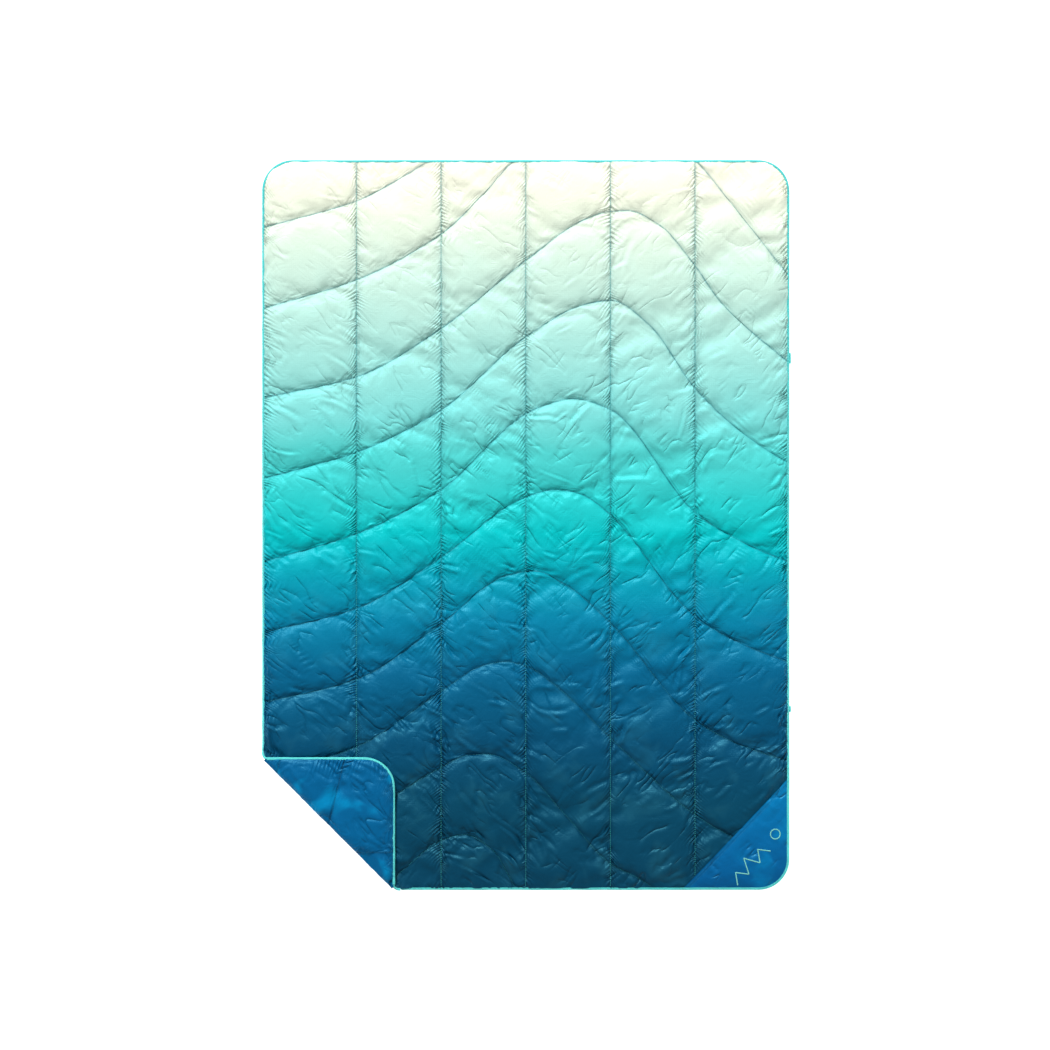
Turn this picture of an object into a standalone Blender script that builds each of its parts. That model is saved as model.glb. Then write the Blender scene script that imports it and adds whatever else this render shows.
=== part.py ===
"""Camp blanket lying flat: quilted panels, loft columns, binding tape and one turned-up corner.

Metres, +Z up, the centre of the blanket over the origin and its back panel on z = 0.
+X runs to the wearer's right and +Y towards the pale head end.
"""

import math

import bmesh
import bpy
from mathutils import Matrix, Vector

# Overall size
WIDTH = 1.350
LENGTH = 1.870
CORNER_RADIUS = 0.078
CORNER_STEPS = 6

# Heights of the stack
GAP = 0.0003
PANEL = 0.0008
SEAM_TOP = 0.0050
CROWN_TOP = 0.0195
EDGE_FADE = 0.036
FOLD_HEIGHT = 0.0220

# Vertical quilting seams, which part the six columns
SEAMS = (-0.434, -0.217, 0.0, 0.217, 0.434)
SEAM_GAP = 0.003
COLUMN_STEPS = (0.0, 0.06, 0.16, 0.32, 0.5, 0.68, 0.84, 0.94, 1.0)
LENS_POWER = 2.4

# Binding tape round the outline
BINDING_WIDTH = 0.0055
BINDING_HEIGHT = 0.0060
PANEL_INSET = BINDING_WIDTH + GAP
FILL_INSET = 0.012
FILL_GAP = 0.0010

# Turned-up corner: the crease is the line x + y = CREASE
CREASE = -1.2705
CREASE_GAP = 0.0004
HALF_GAP = 0.0004

# Thread
THREAD_RADIUS = 0.00045
THREAD_LIFT = 0.0016
ROW_STEP = 0.024
STITCH_WIDTH = 0.0018

# Corner patch, as distances along the foot edge and the right edge
PATCH_FOOT = 0.274
PATCH_SIDE = 0.287

# Contour quilting rows, as (x, y) in metres from the left end to the right end
ROW_A = ((-0.675, 0.761), (-0.434, 0.831), (-0.330, 0.884), (-0.248, 0.935))
ROW_B = (
    (-0.675, 0.554),
    (-0.434, 0.629),
    (-0.217, 0.746),
    (-0.112, 0.845),
    (-0.052, 0.904),
    (-0.028, 0.935),
)
ROW_B_FAR = ((0.436, 0.935), (0.471, 0.890), (0.535, 0.815), (0.580, 0.760), (0.626, 0.700), (0.675, 0.637))
ROW_C = (
    (-0.675, 0.326),
    (-0.434, 0.380),
    (-0.217, 0.504),
    (0.0, 0.678),
    (0.217, 0.804),
    (0.262, 0.806),
    (0.342, 0.778),
    (0.434, 0.665),
    (0.503, 0.568),
    (0.675, 0.415),
)
ROW_D = (
    (-0.675, 0.118),
    (-0.434, 0.187),
    (-0.217, 0.295),
    (0.0, 0.482),
    (0.180, 0.571),
    (0.240, 0.573),
    (0.315, 0.527),
    (0.434, 0.351),
    (0.675, 0.156),
)
ROW_E = (
    (-0.675, -0.095),
    (-0.434, -0.022),
    (-0.217, 0.091),
    (0.0, 0.285),
    (0.121, 0.323),
    (0.217, 0.300),
    (0.434, 0.033),
    (0.675, -0.095),
)
ROW_F = (
    (-0.675, -0.276),
    (-0.434, -0.214),
    (-0.217, -0.083),
    (0.0, 0.072),
    (0.078, 0.091),
    (0.217, 0.026),
    (0.434, -0.234),
    (0.675, -0.351),
)
ROW_G = (
    (-0.675, -0.455),
    (-0.434, -0.396),
    (-0.217, -0.253),
    (-0.040, -0.125),
    (0.021, -0.118),
    (0.217, -0.251),
    (0.434, -0.500),
    (0.675, -0.605),
)
ROW_H = (
    (-0.675, -0.644),
    (-0.434, -0.569),
    (-0.217, -0.427),
    (-0.100, -0.356),
    (0.0, -0.353),
    (0.217, -0.546),
    (0.434, -0.744),
    (0.511, -0.790),
)
ROW_I = (
    (-0.675, -0.808),
    (-0.434, -0.744),
    (-0.217, -0.622),
    (-0.112, -0.587),
    (0.0, -0.632),
    (0.217, -0.869),
    (0.283, -0.903),
    (0.335, -0.935),
)
ROW_J = (
    (-0.325, -0.894),
    (-0.217, -0.810),
    (-0.156, -0.796),
    (-0.084, -0.835),
    (-0.043, -0.896),
    (-0.033, -0.935),
)

MATERIALS = {
    "front": ((0.05, 0.60, 0.65, 1.0), 0.38),
    "back": ((0.0, 0.125, 0.33, 1.0), 0.40),
    "fill": ((0.92, 0.92, 0.90, 1.0), 0.90),
    "tape": ((0.12, 0.72, 0.70, 1.0), 0.55),
    "thread": ((0.16, 0.66, 0.68, 1.0), 0.50),
    "patch": ((0.0, 0.10, 0.28, 1.0), 0.42),
    "mint": ((0.45, 0.86, 0.80, 1.0), 0.50),
}


def edge_distance(x, y, inset=0.0):
    """Distance from the point to the rounded outline drawn in by inset, positive inside."""
    reach_x = WIDTH / 2 - CORNER_RADIUS
    reach_y = LENGTH / 2 - CORNER_RADIUS
    over_x = abs(x) - reach_x
    over_y = abs(y) - reach_y
    if over_x > 0 and over_y > 0:
        return CORNER_RADIUS - inset - math.hypot(over_x, over_y)
    return CORNER_RADIUS - inset - max(over_x, over_y)


def column_of(x):
    """The two seams or edges that bound the column holding x."""
    bounds = (-WIDTH / 2 + PANEL_INSET, *SEAMS, WIDTH / 2 - PANEL_INSET)
    for low, high in zip(bounds, bounds[1:]):
        if x <= high:
            return low, high
    return bounds[-2], bounds[-1]


def front_height(x, y):
    """Top of the front panel: low on every seam and at the edge, high along each column."""
    low, high = column_of(x)
    across = min(max((x - low) / (high - low), 0.0), 1.0)
    lens = 1.0 - abs(2.0 * across - 1.0) ** LENS_POWER
    fade = min(max(edge_distance(x, y, PANEL_INSET) / EDGE_FADE, 0.0), 1.0)
    fade = fade * fade * (3.0 - 2.0 * fade)
    return SEAM_TOP + (CROWN_TOP - SEAM_TOP) * lens * fade


def grid_lines_x(low, high):
    """Grid lines across the columns between low and high, with one on every seam."""
    bounds = (-WIDTH / 2 + PANEL_INSET, *SEAMS, WIDTH / 2 - PANEL_INSET)
    lines = {low, high}
    for left, right in zip(bounds, bounds[1:]):
        for step in COLUMN_STEPS:
            x = left + (right - left) * step
            if low + 1e-6 < x < high - 1e-6:
                lines.add(round(x, 6))
    return sorted(lines)


def grid_lines_y(inset):
    """Grid lines from foot to head, closer together where the loft falls off to the edge."""
    end = LENGTH / 2 - inset
    steps = (end, 0.915, 0.902, 0.885, 0.862, 0.830)
    return sorted([-y for y in steps] + [0.0] + list(steps))


def corner_planes(inset):
    """Cutting planes that round the four outer corners, as (point, outward normal)."""
    reach = (CORNER_RADIUS - inset) * math.cos(math.radians(45) / CORNER_STEPS)
    planes = []
    for side_x in (-1, 1):
        for side_y in (-1, 1):
            centre = Vector((side_x * (WIDTH / 2 - CORNER_RADIUS), side_y * (LENGTH / 2 - CORNER_RADIUS), 0))
            for step in range(CORNER_STEPS):
                angle = math.radians(90) * (step + 0.5) / CORNER_STEPS
                normal = Vector((side_x * math.cos(angle), side_y * math.sin(angle), 0))
                planes.append((centre + normal * reach, normal))
    return planes


def crease_planes(on_flap):
    """The one plane that ends the main blanket, or the turned corner, just short of the crease."""
    side = 1 if on_flap else -1
    normal = Vector((side, side, 0)).normalized()
    crease = Vector((CREASE / 2, CREASE / 2, 0))
    return [(crease - normal * CREASE_GAP, normal)]


def cut(mesh, planes):
    """Cuts the closed mesh back to the inner side of every plane and closes each cut."""
    for point, normal in planes:
        geometry = mesh.verts[:] + mesh.edges[:] + mesh.faces[:]
        result = bmesh.ops.bisect_plane(
            mesh, geom=geometry, plane_co=point, plane_no=normal, clear_outer=True, dist=1e-7
        )
        rim = [item for item in result["geom_cut"] if isinstance(item, bmesh.types.BMEdge)]
        rim = [edge for edge in rim if edge.is_boundary]
        if rim:
            bmesh.ops.holes_fill(mesh, edges=rim, sides=0)


def quilt_slab(x_lines, y_lines, low, high, planes):
    """A closed slab between two heights that follow the quilted front, cut by planes."""
    mesh = bmesh.new()
    columns = len(x_lines) - 1
    rows = len(y_lines) - 1
    bmesh.ops.create_grid(mesh, x_segments=columns, y_segments=rows, size=0.5)
    for vert in mesh.verts:
        vert.co.x = x_lines[round((vert.co.x + 0.5) * columns)]
        vert.co.y = y_lines[round((vert.co.y + 0.5) * rows)]
    bmesh.ops.triangulate(mesh, faces=mesh.faces[:], quad_method="FIXED")
    raised = bmesh.ops.extrude_face_region(mesh, geom=mesh.faces[:])
    upper = {item for item in raised["geom"] if isinstance(item, bmesh.types.BMVert)}
    for vert in mesh.verts:
        level = high if vert in upper else low
        vert.co.z = level(vert.co.x, vert.co.y)
    cut(mesh, planes)
    bmesh.ops.recalc_face_normals(mesh, faces=mesh.faces[:])
    return mesh


def flat(level):
    """A height that is the same everywhere."""
    return lambda x, y: level


def above_front(lift):
    """A height that keeps a steady distance from the front panel's top."""
    return lambda x, y: front_height(x, y) + lift


def pivot_of(body):
    """A point on the joint axis of the body, or the origin for the fixed right half."""
    if body == "left_half":
        return Vector((0, 0, FOLD_HEIGHT))
    if body == "corner_flap":
        return Vector((CREASE / 2, CREASE / 2, FOLD_HEIGHT))
    return Vector((0, 0, 0))


def crease_turn():
    """Half a turn about the crease, which lays the corner on the front of the blanket."""
    pivot = pivot_of("corner_flap")
    turn = Matrix.Rotation(math.pi, 4, Vector((1, -1, 0)).normalized())
    return Matrix.Translation(pivot) @ turn @ Matrix.Translation(-pivot)


def material(kind):
    """The Principled material of one kind of cloth or thread."""
    found = bpy.data.materials.get(kind)
    if found:
        return found
    made = bpy.data.materials.new(kind)
    made.use_nodes = True
    shader = made.node_tree.nodes["Principled BSDF"]
    colour, roughness = MATERIALS[kind]
    shader.inputs["Base Color"].default_value = colour
    shader.inputs["Roughness"].default_value = roughness
    made.diffuse_color = colour
    return made


def finish(name, mesh, kind, body):
    """Turns the mesh into a named node of the body, with its origin on the joint axis."""
    if body == "corner_flap":
        bmesh.ops.transform(mesh, matrix=crease_turn(), verts=mesh.verts[:])
    pivot = pivot_of(body)
    bmesh.ops.translate(mesh, vec=-pivot, verts=mesh.verts[:])
    data = bpy.data.meshes.new(name)
    mesh.to_mesh(data)
    mesh.free()
    data.shade_smooth()
    data.set_sharp_from_angle(angle=math.radians(40))
    data.materials.append(material(kind))
    node = bpy.data.objects.new(name, data)
    node.location = pivot
    bpy.context.scene.collection.objects.link(node)
    return node


def panel(name, kind, body, x_range, inset, low, high, extra=()):
    """A layer of the blanket over one body, rounded at the outline and cut at the crease."""
    planes = corner_planes(inset)
    if body != "right_half":
        planes += crease_planes(body == "corner_flap")
    planes += list(extra)
    mesh = quilt_slab(grid_lines_x(*x_range), grid_lines_y(inset), low, high, planes)
    return finish(name, mesh, kind, body)


def layer_ranges(inset):
    """The reach of each body's layers across the blanket."""
    edge = WIDTH / 2 - inset
    return {
        "left_half": (-edge, -HALF_GAP),
        "right_half": (HALF_GAP, edge),
        "corner_flap": (-edge, CREASE + LENGTH / 2),
    }


def build_panels():
    """Back and front fabric of each body."""
    names = {"left_half": "left", "right_half": "right", "corner_flap": "corner"}
    for body, x_range in layer_ranges(PANEL_INSET).items():
        label = names[body]
        panel(f"back_panel_{label}", "back", body, x_range, PANEL_INSET, flat(0.0), flat(PANEL))
        low = above_front(-PANEL)
        panel(f"front_panel_{label}", "front", body, x_range, PANEL_INSET, low, above_front(0.0))


def build_fill():
    """Loft of the six columns, and of the two that run on into the turned corner."""
    edge = WIDTH / 2 - FILL_INSET
    bounds = (-edge - SEAM_GAP, *SEAMS, edge + SEAM_GAP)
    low = flat(PANEL + GAP)
    high = above_front(-PANEL - FILL_GAP)
    for number, (left, right) in enumerate(zip(bounds, bounds[1:]), start=1):
        body = "left_half" if right <= 0 else "right_half"
        reach = (left + SEAM_GAP, right - SEAM_GAP)
        panel(f"fill_column_{number}", "fill", body, reach, FILL_INSET, low, high)
    for number, (left, right) in enumerate(zip(bounds[:2], bounds[1:3]), start=1):
        reach = (left + SEAM_GAP, min(right - SEAM_GAP, CREASE + LENGTH / 2))
        panel(f"fill_corner_{number}", "fill", "corner_flap", reach, FILL_INSET, low, high)


def outline_run(start, stop, inset):
    """Points along the outline, drawn in by inset, between two turns counted in quarters.

    Quarter 0 is the middle of the foot edge; the run goes round by the right side.
    """
    radius = CORNER_RADIUS - inset
    half_x = WIDTH / 2 - CORNER_RADIUS
    half_y = LENGTH / 2 - CORNER_RADIUS
    corners = ((half_x, -half_y, -90), (half_x, half_y, 0), (-half_x, half_y, 90), (-half_x, -half_y, 180))
    points = []
    for centre_x, centre_y, first in corners[start:stop]:
        for step in range(CORNER_STEPS + 1):
            angle = math.radians(first + 90 * step / CORNER_STEPS)
            points.append((centre_x + radius * math.cos(angle), centre_y + radius * math.sin(angle)))
    return points


def binding_bar(name, body, outer, inner):
    """One length of tape as a closed bar between an outer and an inner run of points."""
    mesh = bmesh.new()
    verts = [(mesh.verts.new((*a, 0.0)), mesh.verts.new((*b, 0.0))) for a, b in zip(outer, inner)]
    for (outer_a, inner_a), (outer_b, inner_b) in zip(verts, verts[1:]):
        mesh.faces.new((outer_a, outer_b, inner_b, inner_a))
    raised = bmesh.ops.extrude_face_region(mesh, geom=mesh.faces[:])
    upper = [item for item in raised["geom"] if isinstance(item, bmesh.types.BMVert)]
    bmesh.ops.translate(mesh, vec=(0, 0, BINDING_HEIGHT), verts=upper)
    bmesh.ops.recalc_face_normals(mesh, faces=mesh.faces[:])
    finish(name, mesh, "tape", body)


def binding_paths(inset):
    """The four runs of the outline that belong to one body each, drawn in by inset."""
    x = WIDTH / 2 - inset
    y = LENGTH / 2 - inset
    slack = CREASE_GAP * math.sqrt(2)
    side_y = CREASE + x
    foot_x = CREASE + y
    return {
        "right": [(HALF_GAP, -y), *outline_run(0, 2, inset), (HALF_GAP, y)],
        "left_side": [(-HALF_GAP, y), *outline_run(2, 3, inset), (-x, side_y + slack)],
        "left_foot": [(foot_x + slack, -y), (-HALF_GAP, -y)],
        "corner": [(-x, side_y - slack), *outline_run(3, 4, inset), (foot_x - slack, -y)],
    }


BINDING_BODIES = {
    "right": "right_half",
    "left_side": "left_half",
    "left_foot": "left_half",
    "corner": "corner_flap",
}


def build_binding():
    """Binding tape in four lengths, each with its own row of stitching on top."""
    outer = binding_paths(0.0)
    inner = binding_paths(BINDING_WIDTH)
    middle = binding_paths(BINDING_WIDTH * 0.62)
    level = BINDING_HEIGHT + THREAD_LIFT
    for label, body in BINDING_BODIES.items():
        binding_bar(f"binding_{label}", body, outer[label], inner[label])
        path = [Vector((x, y, level)) for x, y in trimmed(middle[label], 0.002)]
        thread(f"binding_stitch_{label}", body, path, "thread")


def trimmed(path, amount):
    """The path with both ends drawn back by amount."""
    points = [Vector((*point, 0.0)) for point in path]
    first = points[0] + (points[1] - points[0]).normalized() * amount
    last = points[-1] + (points[-2] - points[-1]).normalized() * amount
    return [(p.x, p.y) for p in (first, *points[1:-1], last)]


def thread(name, body, path, kind):
    """A run of thread as a square-section tube with closed ends, as one node of the body."""
    curve = bpy.data.curves.new(name, "CURVE")
    curve.dimensions = "3D"
    curve.bevel_depth = THREAD_RADIUS
    curve.bevel_resolution = 0
    curve.use_fill_caps = True
    spline = curve.splines.new("POLY")
    pivot = pivot_of(body)
    points = [crease_turn() @ point for point in path] if body == "corner_flap" else path
    spline.points.add(len(points) - 1)
    for slot, point in zip(spline.points, points):
        slot.co = (*(point - pivot), 1.0)
    curve.materials.append(material(kind))
    node = bpy.data.objects.new(name, curve)
    node.location = pivot
    bpy.context.scene.collection.objects.link(node)
    return node


def row_height(points, x):
    """The y of a smooth row at x, which passes through every point without overshooting."""
    for index in range(len(points) - 1):
        if x <= points[index + 1][0] or index == len(points) - 2:
            break
    (x0, y0), (x1, y1) = points[index], points[index + 1]
    slope = (y1 - y0) / (x1 - x0)

    def tangent(at):
        if at == 0 or at == len(points) - 1:
            return slope
        before = (points[at][1] - points[at - 1][1]) / (points[at][0] - points[at - 1][0])
        after = (points[at + 1][1] - points[at][1]) / (points[at + 1][0] - points[at][0])
        if before * after <= 0:
            return 0.0
        return 2 * before * after / (before + after)

    span = x1 - x0
    t = (x - x0) / span
    first = tangent(index) * span
    last = tangent(index + 1) * span
    return (
        y0 * (2 * t**3 - 3 * t**2 + 1)
        + first * (t**3 - 2 * t**2 + t)
        + y1 * (3 * t**2 - 2 * t**3)
        + last * (t**3 - t**2)
    )


def row_path(points, keep):
    """Thread positions along a contour row, over the stretch that keep accepts."""
    low = points[0][0]
    high = points[-1][0]
    count = max(2, round((high - low) / ROW_STEP) * 4)
    path = []
    for step in range(count + 1):
        x = low + (high - low) * step / count
        y = row_height(points, x)
        if keep(x, y) and edge_distance(x, y, PANEL_INSET) > 0.004:
            path.append(Vector((x, y, front_height(x, y) + THREAD_LIFT)))
    return path[::3] + [path[-1]] if len(path) % 3 != 1 else path[::3]


def on_left(x, y):
    """Whether the point is on the left half and clear of the crease and the middle."""
    return x < -0.002 and x + y > CREASE + 0.004


def on_right(x, y):
    """Whether the point is on the right half, clear of the middle and of the corner patch."""
    return x > 0.0045 and patch_side(x, y) < -0.003


def on_corner(x, y):
    """Whether the point is on the turned corner, clear of the crease."""
    return x + y < CREASE - 0.004


def build_contour_rows():
    """Contour quilting rows, each one split where it crosses from body to body."""
    sides = {"left": ("left_half", on_left), "right": ("right_half", on_right), "corner": ("corner_flap", on_corner)}
    rows = (
        ("a", ROW_A, ("left",)),
        ("b", ROW_B, ("left",)),
        ("b_far", ROW_B_FAR, ("right",)),
        ("c", ROW_C, ("left", "right")),
        ("d", ROW_D, ("left", "right")),
        ("e", ROW_E, ("left", "right")),
        ("f", ROW_F, ("left", "right")),
        ("g", ROW_G, ("left", "right")),
        ("h", ROW_H, ("left", "right", "corner")),
        ("i", ROW_I, ("left", "right", "corner")),
        ("j", ROW_J, ("left",)),
    )
    for letter, points, labels in rows:
        for label in labels:
            body, keep = sides[label]
            thread(f"contour_row_{letter}_{label}", body, row_path(points, keep), "thread")


def strip_planes(point, along, width):
    """Two planes that leave a strip of the given width about a line on the blanket."""
    across = Vector((-along.y, along.x, 0)).normalized()
    return [(point + across * width / 2, across), (point - across * width / 2, -across)]


def build_column_stitches():
    """Stitching along the five vertical seams; the outer left one runs on into the corner."""
    low = above_front(GAP)
    high = above_front(GAP + 0.0004)
    upward = Vector((0, 1, 0))
    inset = PANEL_INSET + 0.004
    for number, x in enumerate(SEAMS, start=1):
        body = "left_half" if x < 0 else "right_half"
        # The middle row sits just beside the fold, on the fixed half.
        centre = x if x else HALF_GAP + STITCH_WIDTH / 2 + 0.0003
        half = STITCH_WIDTH / 2
        extra = [(Vector((0, -0.8995, 0)), Vector((0, -1, 0)))] if number == 5 else []
        lines = sorted({centre - half, centre, centre + half})
        planes = crease_planes(False) if body == "left_half" else []
        mesh = quilt_slab(lines, grid_lines_y(inset), low, high, planes + extra)
        finish(f"column_stitch_{number}", mesh, "thread", body)
    planes = strip_planes(Vector((SEAMS[0], 0, 0)), upward, STITCH_WIDTH) + crease_planes(True)
    lines = [SEAMS[0] - 0.01, SEAMS[0], SEAMS[0] + 0.01]
    mesh = quilt_slab(lines, grid_lines_y(inset), low, high, planes)
    finish("column_stitch_1_corner", mesh, "thread", "corner_flap")


def patch_side(x, y):
    """Distance of the point past the hem of the patch, positive towards the corner."""
    run = Vector((PATCH_FOOT, PATCH_SIDE))
    foot = Vector((WIDTH / 2 - PATCH_FOOT, -LENGTH / 2))
    normal = Vector((run.y, -run.x)).normalized()
    return (Vector((x, y)) - foot).dot(normal)


def patch_frame():
    """A point on the patch's hem, the way along the hem, and the way in to the corner."""
    foot = Vector((WIDTH / 2 - PATCH_FOOT, -LENGTH / 2, 0))
    along = Vector((PATCH_FOOT, PATCH_SIDE, 0)).normalized()
    inward = Vector((along.y, -along.x, 0))
    return foot, along, inward


def build_patch():
    """Triangular corner patch with two rows of hem stitching and an embroidered line of peaks."""
    foot, along, inward = patch_frame()
    x_range = (WIDTH / 2 - PATCH_FOOT, WIDTH / 2 - PANEL_INSET)
    hem = [(foot, -inward)]
    low = above_front(GAP + 0.0001)
    high = above_front(GAP + 0.0009)
    panel("corner_patch", "patch", "right_half", x_range, PANEL_INSET, low, high, hem)
    low = above_front(2 * GAP + 0.0010)
    high = above_front(2 * GAP + 0.0016)
    for label, depth in (("outer", 0.005), ("inner", 0.010)):
        planes = strip_planes(foot + inward * depth, along, 0.0014)
        name = f"patch_stitch_{label}"
        panel(name, "mint", "right_half", x_range, PANEL_INSET + 0.002, low, high, planes)
    peaks = ((0.130, 0.028), (0.160, 0.050), (0.178, 0.034), (0.200, 0.062), (0.232, 0.028))
    path = []
    for (run_a, depth_a), (run_b, depth_b) in zip(peaks, peaks[1:]):
        for step in range(5):
            share = step / 4
            run = run_a + (run_b - run_a) * share
            # Peaks point away from the corner, so a deeper place in the list is a lower one here.
            depth = 0.075 - (depth_a + (depth_b - depth_a) * share)
            point = foot + along * run + inward * depth
            path.append(Vector((point.x, point.y, front_height(point.x, point.y) + 0.0026)))
    thread("patch_embroidery", "right_half", path, "mint")


def build_side_loops():
    """Two short folded tape loops sewn into the binding on the right edge."""
    for name, centre, length in (("side_loop_upper", 0.428, 0.027), ("side_loop_lower", -0.472, 0.0156)):
        mesh = bmesh.new()
        bmesh.ops.create_cube(mesh, size=1.0)
        bmesh.ops.scale(mesh, vec=(0.0053, length, 0.0030), verts=mesh.verts[:])
        bmesh.ops.bevel(
            mesh, geom=mesh.edges[:], offset=0.0008, segments=2, profile=0.5, affect="EDGES", material=-1
        )
        place = Vector((WIDTH / 2 + GAP + 0.00265, centre, 0.0026))
        bmesh.ops.translate(mesh, vec=place, verts=mesh.verts[:])
        finish(name, mesh, "tape", "right_half")


def main():
    for item in list(bpy.data.objects):
        bpy.data.objects.remove(item)
    build_panels()
    build_fill()
    build_binding()
    build_column_stitches()
    build_contour_rows()
    build_patch()
    build_side_loops()


main()
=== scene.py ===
"""Looks of a quilted camp blanket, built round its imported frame.

Metres, +Z up, the back of the blanket on z = 0. The front cloth is simulated as a slack sheet held
down along every quilting seam, then crimped along the seams. One corner is turned up over the front.
"""

import logging
import math
from dataclasses import dataclass, field
from enum import Enum

import bmesh
import bpy
import numpy as np
from mathutils import Matrix, Vector
from mathutils.bvhtree import BVHTree


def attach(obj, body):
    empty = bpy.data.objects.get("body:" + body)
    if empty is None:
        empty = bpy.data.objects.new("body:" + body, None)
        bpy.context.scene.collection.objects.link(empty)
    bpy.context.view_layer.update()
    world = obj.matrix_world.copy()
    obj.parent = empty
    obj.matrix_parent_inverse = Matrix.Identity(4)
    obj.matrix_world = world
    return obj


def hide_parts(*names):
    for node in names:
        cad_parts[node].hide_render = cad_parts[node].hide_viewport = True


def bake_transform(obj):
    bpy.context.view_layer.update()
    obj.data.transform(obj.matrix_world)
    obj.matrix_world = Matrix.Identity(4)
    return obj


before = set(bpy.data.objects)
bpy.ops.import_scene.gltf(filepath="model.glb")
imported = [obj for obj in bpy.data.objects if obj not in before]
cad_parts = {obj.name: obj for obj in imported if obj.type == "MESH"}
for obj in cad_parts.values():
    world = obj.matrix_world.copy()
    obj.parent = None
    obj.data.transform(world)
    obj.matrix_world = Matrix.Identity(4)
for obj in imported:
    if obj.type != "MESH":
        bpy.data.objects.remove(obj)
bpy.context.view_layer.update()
LOG = logging.getLogger("camp_blanket")
CLOTH_UV = "cloth"
# Mask of painted shade in the gathers beside seams, rows and edges.
PAINTED_SHADE = "painted_shade"
TICK = "tick"
TICK_DEPTH = "tick_depth"
# Mask of the painted dark line of shade along each row and seam.
PAINTED_LINE_SHADE = "painted_line_shade"
CLOTH_MARKS = (PAINTED_SHADE, TICK, TICK_DEPTH, PAINTED_LINE_SHADE)
LEFT_LEAN = -42.0
RIGHT_LEAN = 44.0
SEAM_HEIGHT = 0.0065
TRIM_TOLERANCE = 2e-5
WELD_TOLERANCE = 1e-5
Colour = tuple[float, float, float]
Pair = tuple[float, float]
Piece = bpy.types.Object
Socket = bpy.types.NodeSocket
Node = bpy.types.Node


class Body(str, Enum):
    """The rigid bodies of the frame."""

    LEFT = "left_half"
    RIGHT = "right_half"
    CORNER = "corner_flap"


class Side(Enum):
    """Which part of the cloth a cut keeps."""

    MAIN = "main"
    CORNER = "corner"


# --------------------------------------------------------------------------- plan


@dataclass(frozen=True)
class Row:
    """One contour row of quilting, as a smooth curve through its points."""

    points: tuple[tuple[float, float], ...]

    def at(self, x: np.ndarray) -> np.ndarray:
        """Heights of the row.

        Args:
            x: places across the blanket.

        Returns:
            The row's place along the blanket at each x, with no overshoot between points.
        """
        px, py = np.array(self.points).T
        slope = np.diff(py) / np.diff(px)
        inner = np.where(
            slope[:-1] * slope[1:] > 0,
            2 * slope[:-1] * slope[1:] / np.where(slope[:-1] + slope[1:] == 0, 1, slope[:-1] + slope[1:]),
            0,
        )
        tangent = np.concatenate([slope[:1], inner, slope[-1:]])
        index = np.clip(np.searchsorted(px, x) - 1, 0, len(px) - 2)
        span = px[index + 1] - px[index]
        t = (x - px[index]) / span
        return (
            py[index] * (2 * t**3 - 3 * t**2 + 1)
            + tangent[index] * span * (t**3 - 2 * t**2 + t)
            + py[index + 1] * (3 * t**2 - 2 * t**3)
            + tangent[index + 1] * span * (t**3 - t**2)
        )


# Rows from the head to the foot. The first and the last, and the ends of some others, lie beyond
# the cloth and only shape the rows next to them.
ROWS = (
    Row(((-0.70, 0.975), (-0.434, 1.050), (-0.20, 1.16), (0.25, 1.48), (0.45, 1.38), (0.70, 1.16))),
    Row(((-0.70, 0.756), (-0.434, 0.831), (-0.330, 0.884), (-0.248, 0.935), (-0.05, 1.07), (0.25, 1.255),
         (0.45, 1.17), (0.70, 0.95))),
    Row(((-0.70, 0.548), (-0.434, 0.629), (-0.217, 0.746), (-0.112, 0.845), (-0.028, 0.935), (0.10, 1.005),
         (0.25, 1.035), (0.36, 1.0), (0.436, 0.935), (0.535, 0.815), (0.626, 0.700), (0.70, 0.606))),
    Row(((-0.70, 0.321), (-0.434, 0.380), (-0.217, 0.504), (0.0, 0.678), (0.15, 0.783), (0.217, 0.804),
         (0.262, 0.806), (0.342, 0.770), (0.434, 0.665), (0.503, 0.568), (0.70, 0.395))),
    Row(((-0.70, 0.112), (-0.434, 0.187), (-0.217, 0.295), (0.0, 0.482), (0.160, 0.568), (0.219, 0.576),
         (0.315, 0.515), (0.434, 0.351), (0.56, 0.233), (0.70, 0.142))),
    Row(((-0.70, -0.102), (-0.434, -0.022), (-0.217, 0.091), (0.0, 0.285), (0.060, 0.311), (0.121, 0.323),
         (0.217, 0.296), (0.434, 0.033), (0.56, -0.046), (0.70, -0.105))),
    Row(((-0.70, -0.282), (-0.434, -0.214), (-0.217, -0.083), (0.0, 0.072), (0.078, 0.091), (0.14, 0.079),
         (0.217, 0.026), (0.434, -0.234), (0.56, -0.307), (0.70, -0.361))),
    Row(((-0.70, -0.461), (-0.434, -0.396), (-0.217, -0.253), (-0.050, -0.130), (0.021, -0.118),
         (0.10, -0.152), (0.217, -0.251), (0.434, -0.500), (0.56, -0.568), (0.70, -0.613))),
    Row(((-0.70, -0.652), (-0.434, -0.569), (-0.217, -0.427), (-0.110, -0.361), (-0.053, -0.351),
         (0.0, -0.362), (0.08, -0.415), (0.217, -0.546), (0.434, -0.744), (0.511, -0.790), (0.70, -0.88))),
    Row(((-0.70, -0.815), (-0.434, -0.744), (-0.217, -0.622), (-0.150, -0.591), (-0.100, -0.588),
         (0.0, -0.636), (0.10, -0.742), (0.217, -0.869), (0.283, -0.903), (0.335, -0.935), (0.50, -1.02),
         (0.70, -1.09))),
    Row(((-0.70, -1.06), (-0.434, -0.985), (-0.325, -0.894), (-0.217, -0.810), (-0.156, -0.794),
         (-0.084, -0.835), (-0.043, -0.900), (-0.02, -0.945), (0.06, -1.06), (0.25, -1.20), (0.70, -1.30))),
    Row(((-0.70, -1.28), (-0.434, -1.20), (-0.156, -1.02), (0.06, -1.26), (0.25, -1.40), (0.70, -1.50))),
)


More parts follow.
